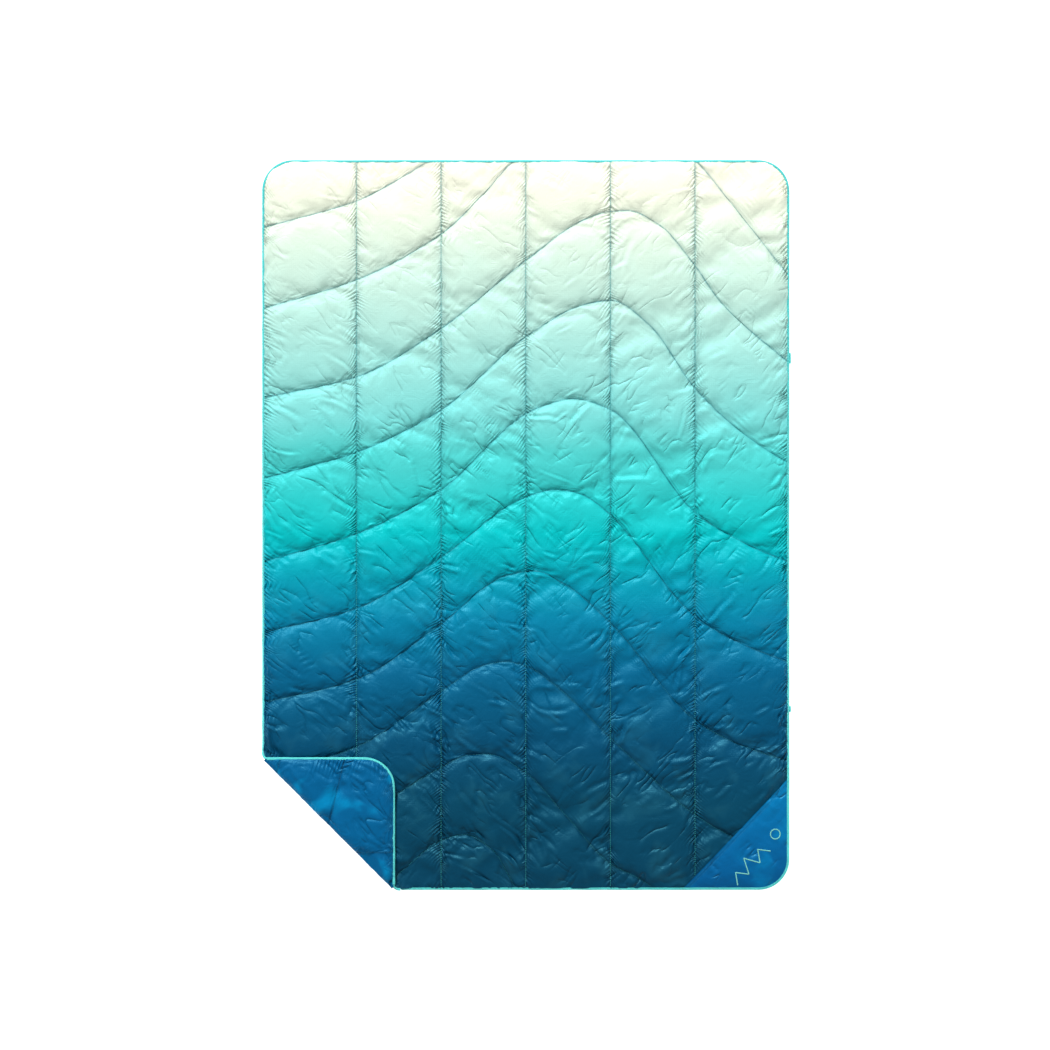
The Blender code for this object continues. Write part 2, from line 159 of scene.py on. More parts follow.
@dataclass(frozen=True)
class Plan:
    """Flat plan of the blanket, shared by every piece."""

    width: float = 1.350
    length: float = 1.870
    corner_radius: float = 0.078
    seams: tuple[float, ...] = (-0.434, -0.217, 0.0, 0.217, 0.434)
    rows: tuple[Row, ...] = ROWS
    crease: float = -1.2705
    fold_height: float = 0.022
    patch_foot: float = 0.274
    patch_side: float = 0.287

    def edge_distance(self, x: np.ndarray, y: np.ndarray) -> np.ndarray:
        """Distance in from the rounded outline.

        Args:
            x: places across the blanket.
            y: places along the blanket.

        Returns:
            The distance in, negative outside.
        """
        over_x = np.abs(x) - (self.width / 2 - self.corner_radius)
        over_y = np.abs(y) - (self.length / 2 - self.corner_radius)
        corner = np.hypot(np.maximum(over_x, 0), np.maximum(over_y, 0))
        return self.corner_radius - np.where((over_x > 0) & (over_y > 0), corner, np.maximum(over_x, over_y))

    def crease_distance(self, x: np.ndarray, y: np.ndarray) -> np.ndarray:
        """Distance in from the crease, positive on the main part of the blanket."""
        return (x + y - self.crease) / math.sqrt(2)

    def row_distance(self, x: np.ndarray, y: np.ndarray) -> np.ndarray:
        """Distance to the nearest contour row.

        Args:
            x: places across the blanket.
            y: places along the blanket.

        Returns:
            The distance square to the row, positive above it and negative below.
        """
        best = np.full(x.shape, 9.0)
        for row in self.rows:
            here = row.at(x)
            lean = (row.at(x + 0.002) - here) / 0.002
            away = (y - here) / np.sqrt(1 + lean**2)
            best = np.where(np.abs(away) < np.abs(best), away, best)
        return best

    def seam_distance(self, x: np.ndarray) -> np.ndarray:
        """Distance to the nearest straight seam, positive to its right."""
        offsets = x[..., None] - np.array(self.seams)
        nearest = np.abs(offsets).argmin(axis=-1)
        return np.take_along_axis(offsets, nearest[..., None], axis=-1)[..., 0]

    def patch_depth(self, x: np.ndarray, y: np.ndarray) -> np.ndarray:
        """Distance past the patch's hem, positive towards the corner it covers."""
        run = math.hypot(self.patch_foot, self.patch_side)
        from_foot_x = x - (self.width / 2 - self.patch_foot)
        from_foot_y = y + self.length / 2
        return (from_foot_x * self.patch_side - from_foot_y * self.patch_foot) / run

    def crease_ends(self) -> tuple[float, float]:
        """Where the crease meets the left edge (its y) and the foot (its x)."""
        return self.crease + self.width / 2, self.crease + self.length / 2

    def turn_up(self) -> Matrix:
        """The half turn about the crease that lays the corner over the front."""
        pivot = Vector((self.crease / 2, self.crease / 2, self.fold_height))
        turn = Matrix.Rotation(math.pi, 4, Vector((1, -1, 0)).normalized())
        return Matrix.Translation(pivot) @ turn @ Matrix.Translation(-pivot)


class Noise:
    """Seeded smooth noise on a flat sheet, the same on every run."""

    cells = 256

    def __init__(self, seed: int) -> None:
        """Args: seed: chooses the pattern."""
        self.table = np.random.default_rng(seed).random((self.cells, self.cells)) * 2 - 1

    def at(self, u: np.ndarray, v: np.ndarray) -> np.ndarray:
        """Noise values from -1 to 1.

        Args:
            u: first coordinate, one unit to a cell.
            v: second coordinate, one unit to a cell.

        Returns:
            The smooth noise at each point.
        """
        iu, iv = np.floor(u).astype(int), np.floor(v).astype(int)
        fu, fv = u - iu, v - iv
        fu, fv = fu * fu * (3 - 2 * fu), fv * fv * (3 - 2 * fv)
        table, n = self.table, self.cells
        low = table[iu % n, iv % n] * (1 - fu) + table[(iu + 1) % n, iv % n] * fu
        high = table[iu % n, (iv + 1) % n] * (1 - fu) + table[(iu + 1) % n, (iv + 1) % n] * fu
        return low * (1 - fv) + high * fv


def smooth(t: np.ndarray) -> np.ndarray:
    """Smooth step of t from 0 to 1."""
    t = np.clip(t, 0, 1)
    return t * t * (3 - 2 * t)


# --------------------------------------------------------------------------- mesh help


def read_points(mesh: bpy.types.Mesh) -> np.ndarray:
    """The mesh's vertex places as an array of rows."""
    flat = np.empty(len(mesh.vertices) * 3, np.float32)
    mesh.vertices.foreach_get("co", flat)
    return flat.reshape(-1, 3).astype(float)


def write_points(mesh: bpy.types.Mesh, points: np.ndarray) -> None:
    """Moves the mesh's vertices to the rows of an array."""
    mesh.vertices.foreach_set("co", points.astype(np.float32).ravel())
    mesh.update()


def new_object(name: str, mesh: bpy.types.Mesh) -> Piece:
    """A linked object at the origin that shows the mesh."""
    made = bpy.data.objects.new(name, mesh)
    bpy.context.scene.collection.objects.link(made)
    return made


def finish_mesh(mesh: bmesh.types.BMesh, name: str, flat_angle: float = 180.0) -> Piece:
    """Turns a bmesh into a smooth-shaded object.

    Args:
        mesh: the shape, which is freed.
        name: the piece's name.
        flat_angle: edges sharper than this many degrees stay sharp.

    Returns:
        The new object.
    """
    data = bpy.data.meshes.new(name)
    mesh.to_mesh(data)
    mesh.free()
    data.shade_smooth()
    if flat_angle < 180:
        data.set_sharp_from_angle(angle=math.radians(flat_angle))
    return new_object(name, data)


def trim(mesh: bmesh.types.BMesh, planes: list[tuple[Vector, Vector]]) -> None:
    """Cuts away what lies outside each plane, given as a point and its outward normal."""
    for point, way in planes:
        geometry = mesh.verts[:] + mesh.edges[:] + mesh.faces[:]
        bmesh.ops.bisect_plane(
            mesh, geom=geometry, plane_co=point, plane_no=way, clear_outer=True, dist=TRIM_TOLERANCE
        )


def bake_modifiers(piece: Piece) -> None:
    """Applies every modifier of a piece.

    Args:
        piece: the piece, whose mesh is replaced.
    """
    graph = bpy.context.evaluated_depsgraph_get()
    baked = bpy.data.meshes.new_from_object(piece.evaluated_get(graph))
    old = piece.data
    piece.modifiers.clear()
    baked.name = old.name
    piece.data = baked
    bpy.data.meshes.remove(old)


# --------------------------------------------------------------------------- cloth


@dataclass(frozen=True)
class ClothRecipe:
    """How slack cloth fills out between the seams that hold it."""

    frames: int = 14
    quality: int = 4
    slack: float = 0.035
    pressure: float = 1.6
    mass: float = 0.10
    tension: float = 15.0
    shear: float = 4.0
    bending: float = 0.03
    seed: int = 11

    def run(self, piece: Piece, held: np.ndarray) -> None:
        """Simulates the piece and keeps the result as its mesh.

        Args:
            piece: the flat cloth.
            held: True for each vertex that stays where it is.
        """
        points = read_points(piece.data)
        jitter = np.random.default_rng(self.seed).normal(0, 0.0004, len(points))
        points[:, 2] += np.where(held, 0, 0.0006 + jitter)
        write_points(piece.data, points)
        group = piece.vertex_groups.new(name="held")
        group.add([int(i) for i in np.flatnonzero(held)], 1.0, "REPLACE")
        cloth = piece.modifiers.new("cloth", "CLOTH")
        settings = cloth.settings
        settings.quality = self.quality
        settings.mass = self.mass
        settings.tension_stiffness = self.tension
        settings.compression_stiffness = self.tension
        settings.shear_stiffness = self.shear
        settings.bending_stiffness = self.bending
        settings.vertex_group_mass = "held"
        settings.use_pressure = True
        settings.uniform_pressure_force = self.pressure
        settings.shrink_min = -self.slack
        settings.effector_weights.gravity = 0
        cloth.collision_settings.use_collision = False
        cloth.collision_settings.use_self_collision = False
        cloth.point_cache.frame_start = 1
        cloth.point_cache.frame_end = self.frames
        for step in range(1, self.frames + 1):
            bpy.context.scene.frame_set(step)
        bake_modifiers(piece)
        piece.vertex_groups.clear()
        bpy.context.scene.frame_set(1)


@dataclass
class CoverCloth:
    """The front cloth: one slack sheet, pinched along every seam and row."""

    plan: Plan
    recipe: ClothRecipe = field(default_factory=ClothRecipe)
    seam_height: float = SEAM_HEIGHT
    crown: float = 0.0195
    inset: float = 0.0025
    row_relief: float = 0.0052
    row_reach: float = 0.016
    most_dip: float = 0.003
    most_slide: float = 0.006
    seam_hold: float = 0.0008
    row_hold: float = 0.0006
    edge_hold: float = 0.003
    puff_reach: float = 0.022
    least_gap: float = 0.004
    steps: tuple[float, ...] = (0.0, 0.0030, 0.0062, 0.0100, 0.0145, 0.0200, 0.0260, 0.0325, 0.0395, 0.0470,
                                0.0555, 0.0650, 0.0750, 0.0860, 0.0985)
    band_steps: int = 42
    crowding: float = 0.45

    def lines_across(self) -> np.ndarray:
        """Grid lines across the cloth, closest together beside each straight seam."""
        edge = round(self.plan.width / 2 - self.inset, 6)
        bounds = (-edge, *self.plan.seams, edge)
        lines = set(bounds)
        for left, right in zip(bounds, bounds[1:]):
            half = (right - left) / 2
            for step in self.steps:
                if step < half - self.least_gap:
                    lines.update((round(left + step, 6), round(right - step, 6)))
            lines.add(round(left + half, 6))
        return np.array(sorted(lines))

    def lines_along(self) -> np.ndarray:
        """Grid lines of one band between two rows, as shares, closest together beside the rows."""
        t = np.linspace(0, 1, self.band_steps + 1)
        return t - self.crowding * np.sin(2 * np.pi * t) / (2 * np.pi)

    def flat_cloth(self, name: str) -> Piece:
        """The flat sheet, with grid lines that follow the seams and the rows.

        Args:
            name: the piece's name.

        Returns:
            The sheet at seam height, with its flat place kept in its UV map.
        """
        across, share = self.lines_across(), self.lines_along()
        bands = len(self.plan.rows) - 1
        columns, lines = len(across) - 1, bands * self.band_steps
        sheet = bmesh.new()
        bmesh.ops.create_grid(sheet, x_segments=columns, y_segments=lines, size=0.5)
        data = bpy.data.meshes.new(name)
        sheet.to_mesh(data)
        sheet.free()
        points = read_points(data)
        column = np.rint((points[:, 0] + 0.5) * columns).astype(int)
        line = np.rint((0.5 - points[:, 1]) * lines).astype(int)
        band = np.minimum(line // self.band_steps, bands - 1)
        x = across[column]
        heights = np.array([row.at(across) for row in self.plan.rows])
        upper, lower = heights[band, column], heights[band + 1, column]
        y = upper + (lower - upper) * share[line - band * self.band_steps]
        write_points(data, np.column_stack([x, y, np.full(len(x), self.seam_height)]))
        return new_object(name, data)

    def held_points(self, points: np.ndarray) -> np.ndarray:
        """Which vertices the stitching and the binding hold down."""
        x, y = points[:, 0], points[:, 1]
        held = np.abs(self.plan.seam_distance(x)) < self.seam_hold
        held |= np.abs(self.plan.row_distance(x, y)) < self.row_hold
        return held | (self.plan.edge_distance(x, y) < self.inset + self.edge_hold)

    def build(self, name: str) -> Piece:
        """The filled-out front cloth over the whole blanket, still flat at the crease.

        Args:
            name: the piece's name.

        Returns:
            The cloth, with its flat place in its UV map.
        """
        piece = self.flat_cloth(name)
        flat = read_points(piece.data)
        keep_uv(piece, flat[:, :2])
        self.recipe.run(piece, self.held_points(flat))
        self.cap(piece, flat)
        finer = piece.modifiers.new("finer", "SUBSURF")
        finer.levels = finer.render_levels = 1
        finer.boundary_smooth = "PRESERVE_CORNERS"
        bake_modifiers(piece)
        return piece

    def cap(self, piece: Piece, flat: np.ndarray) -> None:
        """Keeps the puffs between the seam height and the crown, and from sliding sideways.

        Args:
            piece: the simulated cloth.
            flat: its vertices before the simulation.
        """
        points = read_points(piece.data)
        rise = points[:, 2] - self.seam_height
        LOG.info("cloth rises %.4f to %.4f", rise.min(), rise.max())
        top = self.crown - self.seam_height
        near_row = np.abs(self.plan.row_distance(flat[:, 0], flat[:, 1]))
        near_edge = np.maximum(self.plan.edge_distance(flat[:, 0], flat[:, 1]), 0)
        rise = rise + self.row_relief * (1 - np.exp(-np.minimum(near_row, near_edge) / self.row_reach))
        rise = np.where(rise > 0, top * np.tanh(rise / top), 0.5 * rise)
        points[:, 2] = self.seam_height + np.maximum(rise, -self.most_dip)
        slide = np.clip(points[:, :2] - flat[:, :2], -self.most_slide, self.most_slide)
        points[:, :2] = flat[:, :2] + slide
        write_points(piece.data, points)


def keep_uv(piece: Piece, flat: np.ndarray) -> None:
    """Stores each vertex's flat place on the cloth in the piece's UV map."""
    data = piece.data
    layer = data.uv_layers.get(CLOTH_UV) or data.uv_layers.new(name=CLOTH_UV)
    corners = np.empty(len(data.loops), np.int32)
    data.loops.foreach_get("vertex_index", corners)
    layer.data.foreach_set("uv", flat[corners].astype(np.float32).ravel())


def flat_places(piece: Piece) -> np.ndarray:
    """Flat places kept in a piece's UV map.

    Args:
        piece: a cloth.

    Returns:
        Each vertex's place on the flat cloth.
    """
    data = piece.data
    corners = np.empty(len(data.loops), np.int32)
    data.loops.foreach_get("vertex_index", corners)
    flat = np.empty(len(data.loops) * 2, np.float32)
    data.uv_layers[CLOTH_UV].data.foreach_get("uv", flat)
    places = np.zeros((len(data.vertices), 2))
    places[corners] = flat.reshape(-1, 2)
    return places


def blank_marks(piece: Piece) -> None:
    """Gives an ungathered piece the marks that the cloth finish reads, all at nought."""
    for label in CLOTH_MARKS:
        piece.data.attributes.new(label, "FLOAT", "POINT")


@dataclass(frozen=True)
class Crimps:
    """Small puckers where stitching gathers the cloth, and a few longer creases."""

    plan: Plan
    pitch: float = 0.0105
    seam_depth: float = 0.0030
    row_depth: float = 0.0012
    edge_depth: float = 0.0046
    seam_reach: float = 0.024
    row_reach: float = 0.016
    edge_reach: float = 0.038
    shade_reach: float = 0.009
    line_width: float = 0.0021
    lowest: float = 0.0050
    crease_count: int = 460
    crease_depth: float = 0.0052
    crease_long: Pair = (0.016, 0.046)
    crease_wide: Pair = (0.0028, 0.0058)
    crease_area: Pair = (0.66, 0.92)
    crease_window: float = 0.08
    lean_change: float = 0.08
    calm_head: float = 0.55
    seed: int = 5

    def ticks(self, along: np.ndarray, away: np.ndarray, side: np.ndarray, reach: float, seed: int) -> tuple:
        """Phase and strength of the herringbone puckers beside one kind of seam.

        Args:
            along: place along the seam.
            away: distance from the seam.
            side: a different number for each seam and each side of it.
            reach: how far the longest puckers run from the seam.
            seed: chooses the pattern.

        Returns:
            The pucker number at each point, and its strength from 0 to 1.
        """
        noise = Noise(seed)
        lean = 0.95 + 0.6 * noise.at(along / 0.11, side * 7.3)
        phase = (along + lean * away) / self.pitch + 1.5 * noise.at(along / 0.024, side * 3.1)
        strength = np.clip(0.50 + 0.75 * noise.at(along / 0.041, side * 5.7 + 11), 0.10, 1)
        length = reach * (0.35 + 0.65 * (1 + noise.at(along / 0.013, side * 9.1 + 5)) / 2)
        return phase, strength * smooth(away / 0.0020) * np.exp(-((away / length) ** 1.5))

    def gather(
        self, along: np.ndarray, away: np.ndarray, side: np.ndarray, depth: float, reach: float, seed: int
    ) -> np.ndarray:
        """Herringbone puckers beside one kind of seam.

        Args:
            along: place along the seam.
            away: distance from the seam.
            side: a different number for each seam and each side of it.
            depth: height of the tallest puckers.
            reach: how far the longest puckers run from the seam.
            seed: chooses the pattern.

        Returns:
            Heights to add to the cloth.
        """
        phase, strength = self.ticks(along, away, side, reach, seed)
        wave = np.sin(2 * np.pi * phase)
        return depth * strength * np.sign(wave) * np.abs(wave) ** 0.8

    def creases(self, flat: np.ndarray) -> np.ndarray:
        """Longer soft creases scattered over the cells, square to the rows near them.

        Args:
            flat: each vertex's flat place.

        Returns:
            Heights to add to the cloth.
        """
        pick = np.random.default_rng(self.seed)
        added = np.zeros(len(flat))
        order = np.argsort(flat[:, 1])
        sorted_y = flat[order, 1]
        for _ in range(self.crease_count):
            x = pick.uniform(-self.crease_area[0], self.crease_area[0])
            y = pick.uniform(-self.crease_area[1], self.crease_area[1])
            turn = math.radians(LEFT_LEAN if x < self.lean_change else RIGHT_LEAN) + pick.normal(0, 0.28)
            long, wide = pick.uniform(*self.crease_long), pick.uniform(*self.crease_wide)
            calm = 1 - self.calm_head * smooth((y - 0.15) / 0.5)
            deep = self.crease_depth * pick.uniform(0.35, 1.0) * calm
            low, high = np.searchsorted(sorted_y, (y - self.crease_window, y + self.crease_window))
            near = order[low:high]
            dx, dy = flat[near, 0] - x, flat[near, 1] - y
            u = dx * math.cos(turn) + dy * math.sin(turn)
            v = dy * math.cos(turn) - dx * math.sin(turn) + 4 * u * u * pick.uniform(-1, 1)
            wide_here = wide * (0.6 + 0.8 * np.clip((u + long) / (2 * long), 0, 1))
            window = np.exp(-((u / long) ** 4))
            fold = np.exp(-((v / wide_here) ** 2)) - 0.75 * np.exp(-(((v + 1.7 * wide) / (1.3 * wide)) ** 2))
            added[near] -= deep * window * fold
        return added

    def add_to(self, piece: Piece) -> None:
        """Puckers the piece and stores how near each vertex is to a seam, with masks for painted shade in
        the gathers and along the row and seam lines.

        Args:
            piece: the cloth, with its flat places in its UV map.
        """
        plan, flat, points = self.plan, flat_places(piece), read_points(piece.data)
        x, y = flat.T
        seam, row = plan.seam_distance(x), plan.row_distance(x, y)
        number = np.abs(x[:, None] - np.array(plan.seams)).argmin(axis=1)
        turned = plan.crease_distance(x, y) < 0.02
        edge = np.where(turned, np.maximum(plan.edge_distance(x, y), 0), plan.width / 2 - np.abs(x))
        along_edge = np.where(turned, y - x, y)
        held = np.minimum(np.abs(seam), np.abs(row))
        loose = smooth(held / 0.012) * smooth(plan.edge_distance(x, y) / 0.02)
        added = self.creases(flat) * loose
        side = number * 2.0 + (seam > 0)
        added += self.gather(y, np.abs(seam), side, self.seam_depth, self.seam_reach, self.seed + 1)
        tight = 1 + 0.9 * (x > 0) * smooth((y - 0.30) / 0.1) * smooth((0.93 - y) / 0.06)
        rim_side = 20.0 + (x > 0)
        rim = self.gather(along_edge, edge, rim_side, self.edge_depth, self.edge_reach, self.seed + 2)
        added += rim * tight * smooth(edge / 0.006)
        row_side = 30.0 + (row > 0)
        added += self.gather(
            x + 0.35 * y, np.abs(row), row_side, self.row_depth, self.row_reach, self.seed + 3
        )
        points[:, 2] += added * smooth(plan.edge_distance(x, y) / 0.010)
        points[:, 2] = np.maximum(points[:, 2], self.lowest)
        write_points(piece.data, points)
        # Painted shade masks: darkness painted into the colour in the gathers near seams, rows and edges,
        # and a thin painted dark line along each row and seam.
        near = np.minimum(np.minimum(np.abs(seam), edge * 0.8), 1.6 * np.abs(row))
        beside_seam = np.abs(seam) < edge
        seam_tick = self.ticks(y, np.abs(seam), side, self.seam_reach, self.seed + 1)
        edge_tick = self.ticks(along_edge, edge, rim_side, self.edge_reach, self.seed + 2)
        values = {
            PAINTED_SHADE: np.exp(-near / self.shade_reach),
            PAINTED_LINE_SHADE: np.maximum(
                np.exp(-((row / self.line_width) ** 2)), 0.7 * np.exp(-((seam / self.line_width) ** 2))
            ),
            TICK: np.where(beside_seam, seam_tick[0], edge_tick[0]),
            TICK_DEPTH: np.where(beside_seam, seam_tick[1], edge_tick[1]),
        }
        for name, value in values.items():
            layer = piece.data.attributes.new(name, "FLOAT", "POINT")
            layer.data.foreach_set("value", value.astype(np.float32))


@dataclass(frozen=True)
class Cutter:
    """Trims a cloth to the rounded outline and to one side of the crease."""

    plan: Plan
    inset: float = 0.0030
    corner_steps: int = 9
    bend_radius: float = 0.013
    tip_share: float = 0.6

    def planes(self) -> list[tuple[Vector, Vector]]:
        """Cutting planes of the outline, each as a point and its outward normal."""
        half_x, half_y = self.plan.width / 2, self.plan.length / 2
        radius = self.plan.corner_radius
        found = [(Vector((0, side * (half_y - self.inset), 0)), Vector((0, side, 0))) for side in (-1, 1)]
        found += [(Vector((side * (half_x - self.inset), 0, 0)), Vector((side, 0, 0))) for side in (-1, 1)]
        for side_x in (-1, 1):
            for side_y in (-1, 1):
                centre = Vector((side_x * (half_x - radius), side_y * (half_y - radius), 0))
                for step in range(self.corner_steps):
                    angle = math.radians(90) * (step + 0.5) / self.corner_steps
                    way = Vector((side_x * math.cos(angle), side_y * math.sin(angle), 0))
                    found.append((centre + way * (radius - self.inset), way))
        return found

    def bend_planes(self) -> list[tuple[Vector, Vector]]:
        """Cutting planes that round off the two tips beside the crease."""
        end_y, end_x = self.plan.crease_ends()
        radius, found = self.bend_radius, []
        left = Vector((-self.plan.width / 2 + radius, end_y + radius, 0))
        foot = Vector((end_x + radius, -self.plan.length / 2 + radius, 0))
        for degrees in (11.25, 22.5):
            a = math.radians(degrees)
            for centre, way in (
                (left, Vector((-math.cos(a), -math.sin(a), 0))),
                (foot, Vector((-math.sin(a), -math.cos(a), 0))),
            ):
                found.append((centre + way * (radius - self.inset), way))
        return found

    def crease_plane(self, side: Side, shy: float) -> tuple[Vector, Vector]:
        """Cutting plane along the crease, this far short of it."""
        outward = -1 if side is Side.MAIN else 1
        way = Vector((outward, outward, 0)).normalized()
        return Vector((self.plan.crease / 2, self.plan.crease / 2, 0)) - way * shy, way

    def tip_planes(self) -> list[tuple[Vector, Vector]]:
        """Cutting planes that blunt the two thin tips of the corner."""
        end_y, end_x = self.plan.crease_ends()
        tip = self.tip_share * self.bend_radius
        return [
            (Vector((0, end_y - tip, 0)), Vector((0, 1, 0))),
            (Vector((end_x - tip, 0, 0)), Vector((1, 0, 0))),
        ]

    def cut(self, source: Piece, name: str, side: Side, shy: float = 0.0) -> Piece:
        """A trimmed copy of the source.

        Args:
            source: the cloth to copy.
            name: the new piece's name.
            side: the side of the crease to keep.
            shy: how far short of the crease the cut is.

        Returns:
            The new piece.
        """
        mesh = bmesh.new()
        mesh.from_mesh(source.data)
        crease = self.crease_plane(side, shy)
        if side is Side.MAIN:
            trim(mesh, [*self.planes(), crease, *self.bend_planes()])
        else:
            trim(mesh, [crease, *self.tip_planes(), *self.planes()])
        return finish_mesh(mesh, name)


# --------------------------------------------------------------------------- materials


def linear(code: str) -> Colour:
    """The linear colour of a hexadecimal display colour."""
    parts = [int(code[i:i + 2], 16) / 255 for i in (0, 2, 4)]
    r, g, b = (c / 12.92 if c <= 0.04045 else ((c + 0.055) / 1.055) ** 2.4 for c in parts)
    return r, g, b


class Nodes:
    """Short ways to place and join shader nodes in one tree."""

    def __init__(self, tree: bpy.types.NodeTree) -> None:
        """Args: tree: the node tree to build in."""
        self.tree = tree

    def add(self, kind: str, **settings: object) -> Node:
        """Places one node.

        Args:
            kind: the node's type name.
            settings: attributes of the node; a name that isn't one sets the input of that name.

        Returns:
            The node.
        """
        node = self.tree.nodes.new(kind)
        for key, value in settings.items():
            if hasattr(node, key):
                setattr(node, key, value)
            else:
                node.inputs[key.replace("_", " ")].default_value = value
        return node

    def link(self, start: Socket, end: Socket) -> None:
        """Joins an output to an input."""
        self.tree.links.new(start, end)

    def maths(self, operation: str, a: object, b: object = 0.0) -> Socket:
        """A Math node.

        Args:
            operation: what it does.
            a: a number or an output socket.
            b: a number or an output socket.

        Returns:
            Its output.
        """
        node = self.tree.nodes.new("ShaderNodeMath")
        node.operation = operation
        for slot, value in zip(node.inputs, (a, b)):
            if isinstance(value, bpy.types.NodeSocket):
                self.link(value, slot)
            else:
                slot.default_value = float(value)
        return node.outputs[0]

    def noise(self, place: Socket, scale: float, detail: float, **settings: float) -> Socket:
        """A noise texture's value at a place.

        Args:
            place: where to read it.
            scale: features in one metre.
            detail: layers of finer noise.
            settings: its other inputs.

        Returns:
            The noise, from 0 to 1.
        """
        node = self.add("ShaderNodeTexNoise", Scale=scale, Detail=detail, **settings)
        self.link(place, node.inputs["Vector"])
        return node.outputs["Fac"]

    def spread(self, value: Socket, source: Pair, result: Pair = (0, 1), kind: str = "SMOOTHSTEP") -> Socket:
        """A value moved from one range to another.

        Args:
            value: an output socket.
            source: the range it is read over.
            result: the range it is given.
            kind: how it runs between the ends.

        Returns:
            The new value.
        """
        node = self.add("ShaderNodeMapRange", interpolation_type=kind)
        ends = {"From Min": source[0], "From Max": source[1], "To Min": result[0], "To Max": result[1]}
        for name, end in ends.items():
            node.inputs[name].default_value = end
        self.link(value, node.inputs[0])
        return node.outputs[0]

    def tint(self, blend: str, share: Socket, base: Socket, colour: Colour) -> Socket:
        """A colour with a second, fixed one laid over it.

        Args:
            blend: how the two are joined.
            share: how much of the second shows.
            base: the first colour.
            colour: the second colour.

        Returns:
            The joined colour.
        """
        node = self.add("ShaderNodeMix", data_type="RGBA", blend_type=blend)
        self.link(share, node.inputs[0])
        self.link(base, node.inputs[6])
        node.inputs[7].default_value = (*colour, 1)
        return node.outputs[2]

    def mark(self, name: str) -> Socket:
        """The value that each vertex keeps under this name."""
        return self.add("ShaderNodeAttribute", attribute_name=name).outputs["Fac"]

    def bump(self, height: Socket, strength: float, depth: float) -> Node:
        """A Bump node over a height, this strong and this deep in metres."""
        node = self.add("ShaderNodeBump", Strength=strength, Distance=depth)
        self.link(height, node.inputs["Height"])
        return node


def new_group(
    name: str, inputs: dict[str, float], outputs: tuple[str, ...]
) -> tuple[bpy.types.NodeTree, Nodes, Node, Node]:
    """An empty shader group with named sockets.

    Args:
        name: the group's name.
        inputs: each input's name and its usual value; the first one, Place, is a vector.
        outputs: the names of the outputs, all plain numbers.

    Returns:
        The group, its helper, its input node and its output node.
    """
    group = bpy.data.node_groups.new(name, "ShaderNodeTree")
    group.interface.new_socket(name="Place", in_out="INPUT", socket_type="NodeSocketVector")
    for label, value in inputs.items():
        made = group.interface.new_socket(name=label, in_out="INPUT", socket_type="NodeSocketFloat")
        made.default_value = value
    for label in outputs:
        group.interface.new_socket(name=label, in_out="OUTPUT", socket_type="NodeSocketFloat")
    nodes = Nodes(group)
    return group, nodes, group.nodes.new("NodeGroupInput"), group.nodes.new("NodeGroupOutput")


@dataclass(frozen=True)
class Shading:
    """Numbers shared by the cloth and thread finishes."""

    weave_square: float = 0.0052
    weave_thread: float = 0.0007
    weave_depth: float = 0.00012
    weave_shade: float = 0.90
    crinkle_depth: float = 0.0022
    colour_wander: float = 0.03
    cloth_spread: float = 0.07
    thread_spread: float = 0.06
    worn: float = 0.82


def weave_group() -> bpy.types.NodeTree:
    """Ripstop weave: fine threads both ways and a thicker thread at each square.

    Returns:
        The group, which puts out a Height and a Thread mask.
    """
    sizes = {"Square": Shading.weave_square, "Thread": Shading.weave_thread}
    group, nodes, start, end = new_group("ripstop_weave", sizes, ("Height", "Thread"))
    split = nodes.add("ShaderNodeSeparateXYZ")
    nodes.link(start.outputs["Place"], split.inputs[0])
    bars, ribs = [], []
    for axis in ("X", "Y"):
        run = nodes.maths("DIVIDE", split.outputs[axis], start.outputs["Square"])
        near = nodes.maths("PINGPONG", run, 0.5)
        bars.append(nodes.maths("LESS_THAN", near, 0.06))
        fine = nodes.maths("DIVIDE", split.outputs[axis], start.outputs["Thread"])
        ribs.append(nodes.maths("SINE", nodes.maths("MULTIPLY", fine, math.tau)))
    thread = nodes.maths("MAXIMUM", bars[0], bars[1])
    rib = nodes.maths("MULTIPLY", ribs[0], ribs[1])
    height = nodes.maths("ADD", nodes.maths("MULTIPLY", rib, 0.25), thread)
    nodes.link(height, end.inputs["Height"])
    nodes.link(thread, end.inputs["Thread"])
    return group


def long_creases(nodes: Nodes, place: Socket) -> Socket:
    """Sparse sharp creases across the cells, leaning one way on each side of the blanket.

    Args:
        nodes: the group's helper.
        place: the flat place on the cloth.

    Returns:
        The height of the creases, fading towards the head.
    """
    ridges = []
    for degrees in (-LEFT_LEAN, -RIGHT_LEAN):
        turned = nodes.add("ShaderNodeVectorRotate", rotation_type="Z_AXIS", Angle=math.radians(degrees))
        nodes.link(place, turned.inputs["Vector"])
        drawn = nodes.add("ShaderNodeVectorMath", operation="MULTIPLY")
        drawn.inputs[1].default_value = (9.0, 24.0, 1.0)
        nodes.link(turned.outputs[0], drawn.inputs[0])
        crease = nodes.noise(drawn.outputs[0], 1.0, 1.5, Roughness=0.5, Distortion=0.5)
        bent = nodes.maths("ABSOLUTE", nodes.maths("SUBTRACT", nodes.maths("MULTIPLY", crease, 2.0), 1.0))
        ridges.append(nodes.maths("POWER", nodes.maths("SUBTRACT", 1.0, bent), 9.0))
    split = nodes.add("ShaderNodeSeparateXYZ")
    nodes.link(place, split.inputs[0])
    mixed = nodes.add("ShaderNodeMix", data_type="FLOAT")
    nodes.link(nodes.spread(split.outputs["X"], (0.02, 0.16)), mixed.inputs[0])
    nodes.link(ridges[0], mixed.inputs[2])
    nodes.link(ridges[1], mixed.inputs[3])
    sparse = nodes.spread(nodes.noise(place, 13.0, 1.0), (0.46, 0.62))
    calm = nodes.spread(split.outputs["Y"], (0.15, 0.65), (-2.4, -1.1))
    return nodes.maths("MULTIPLY", nodes.maths("MULTIPLY", mixed.outputs[0], sparse), calm)


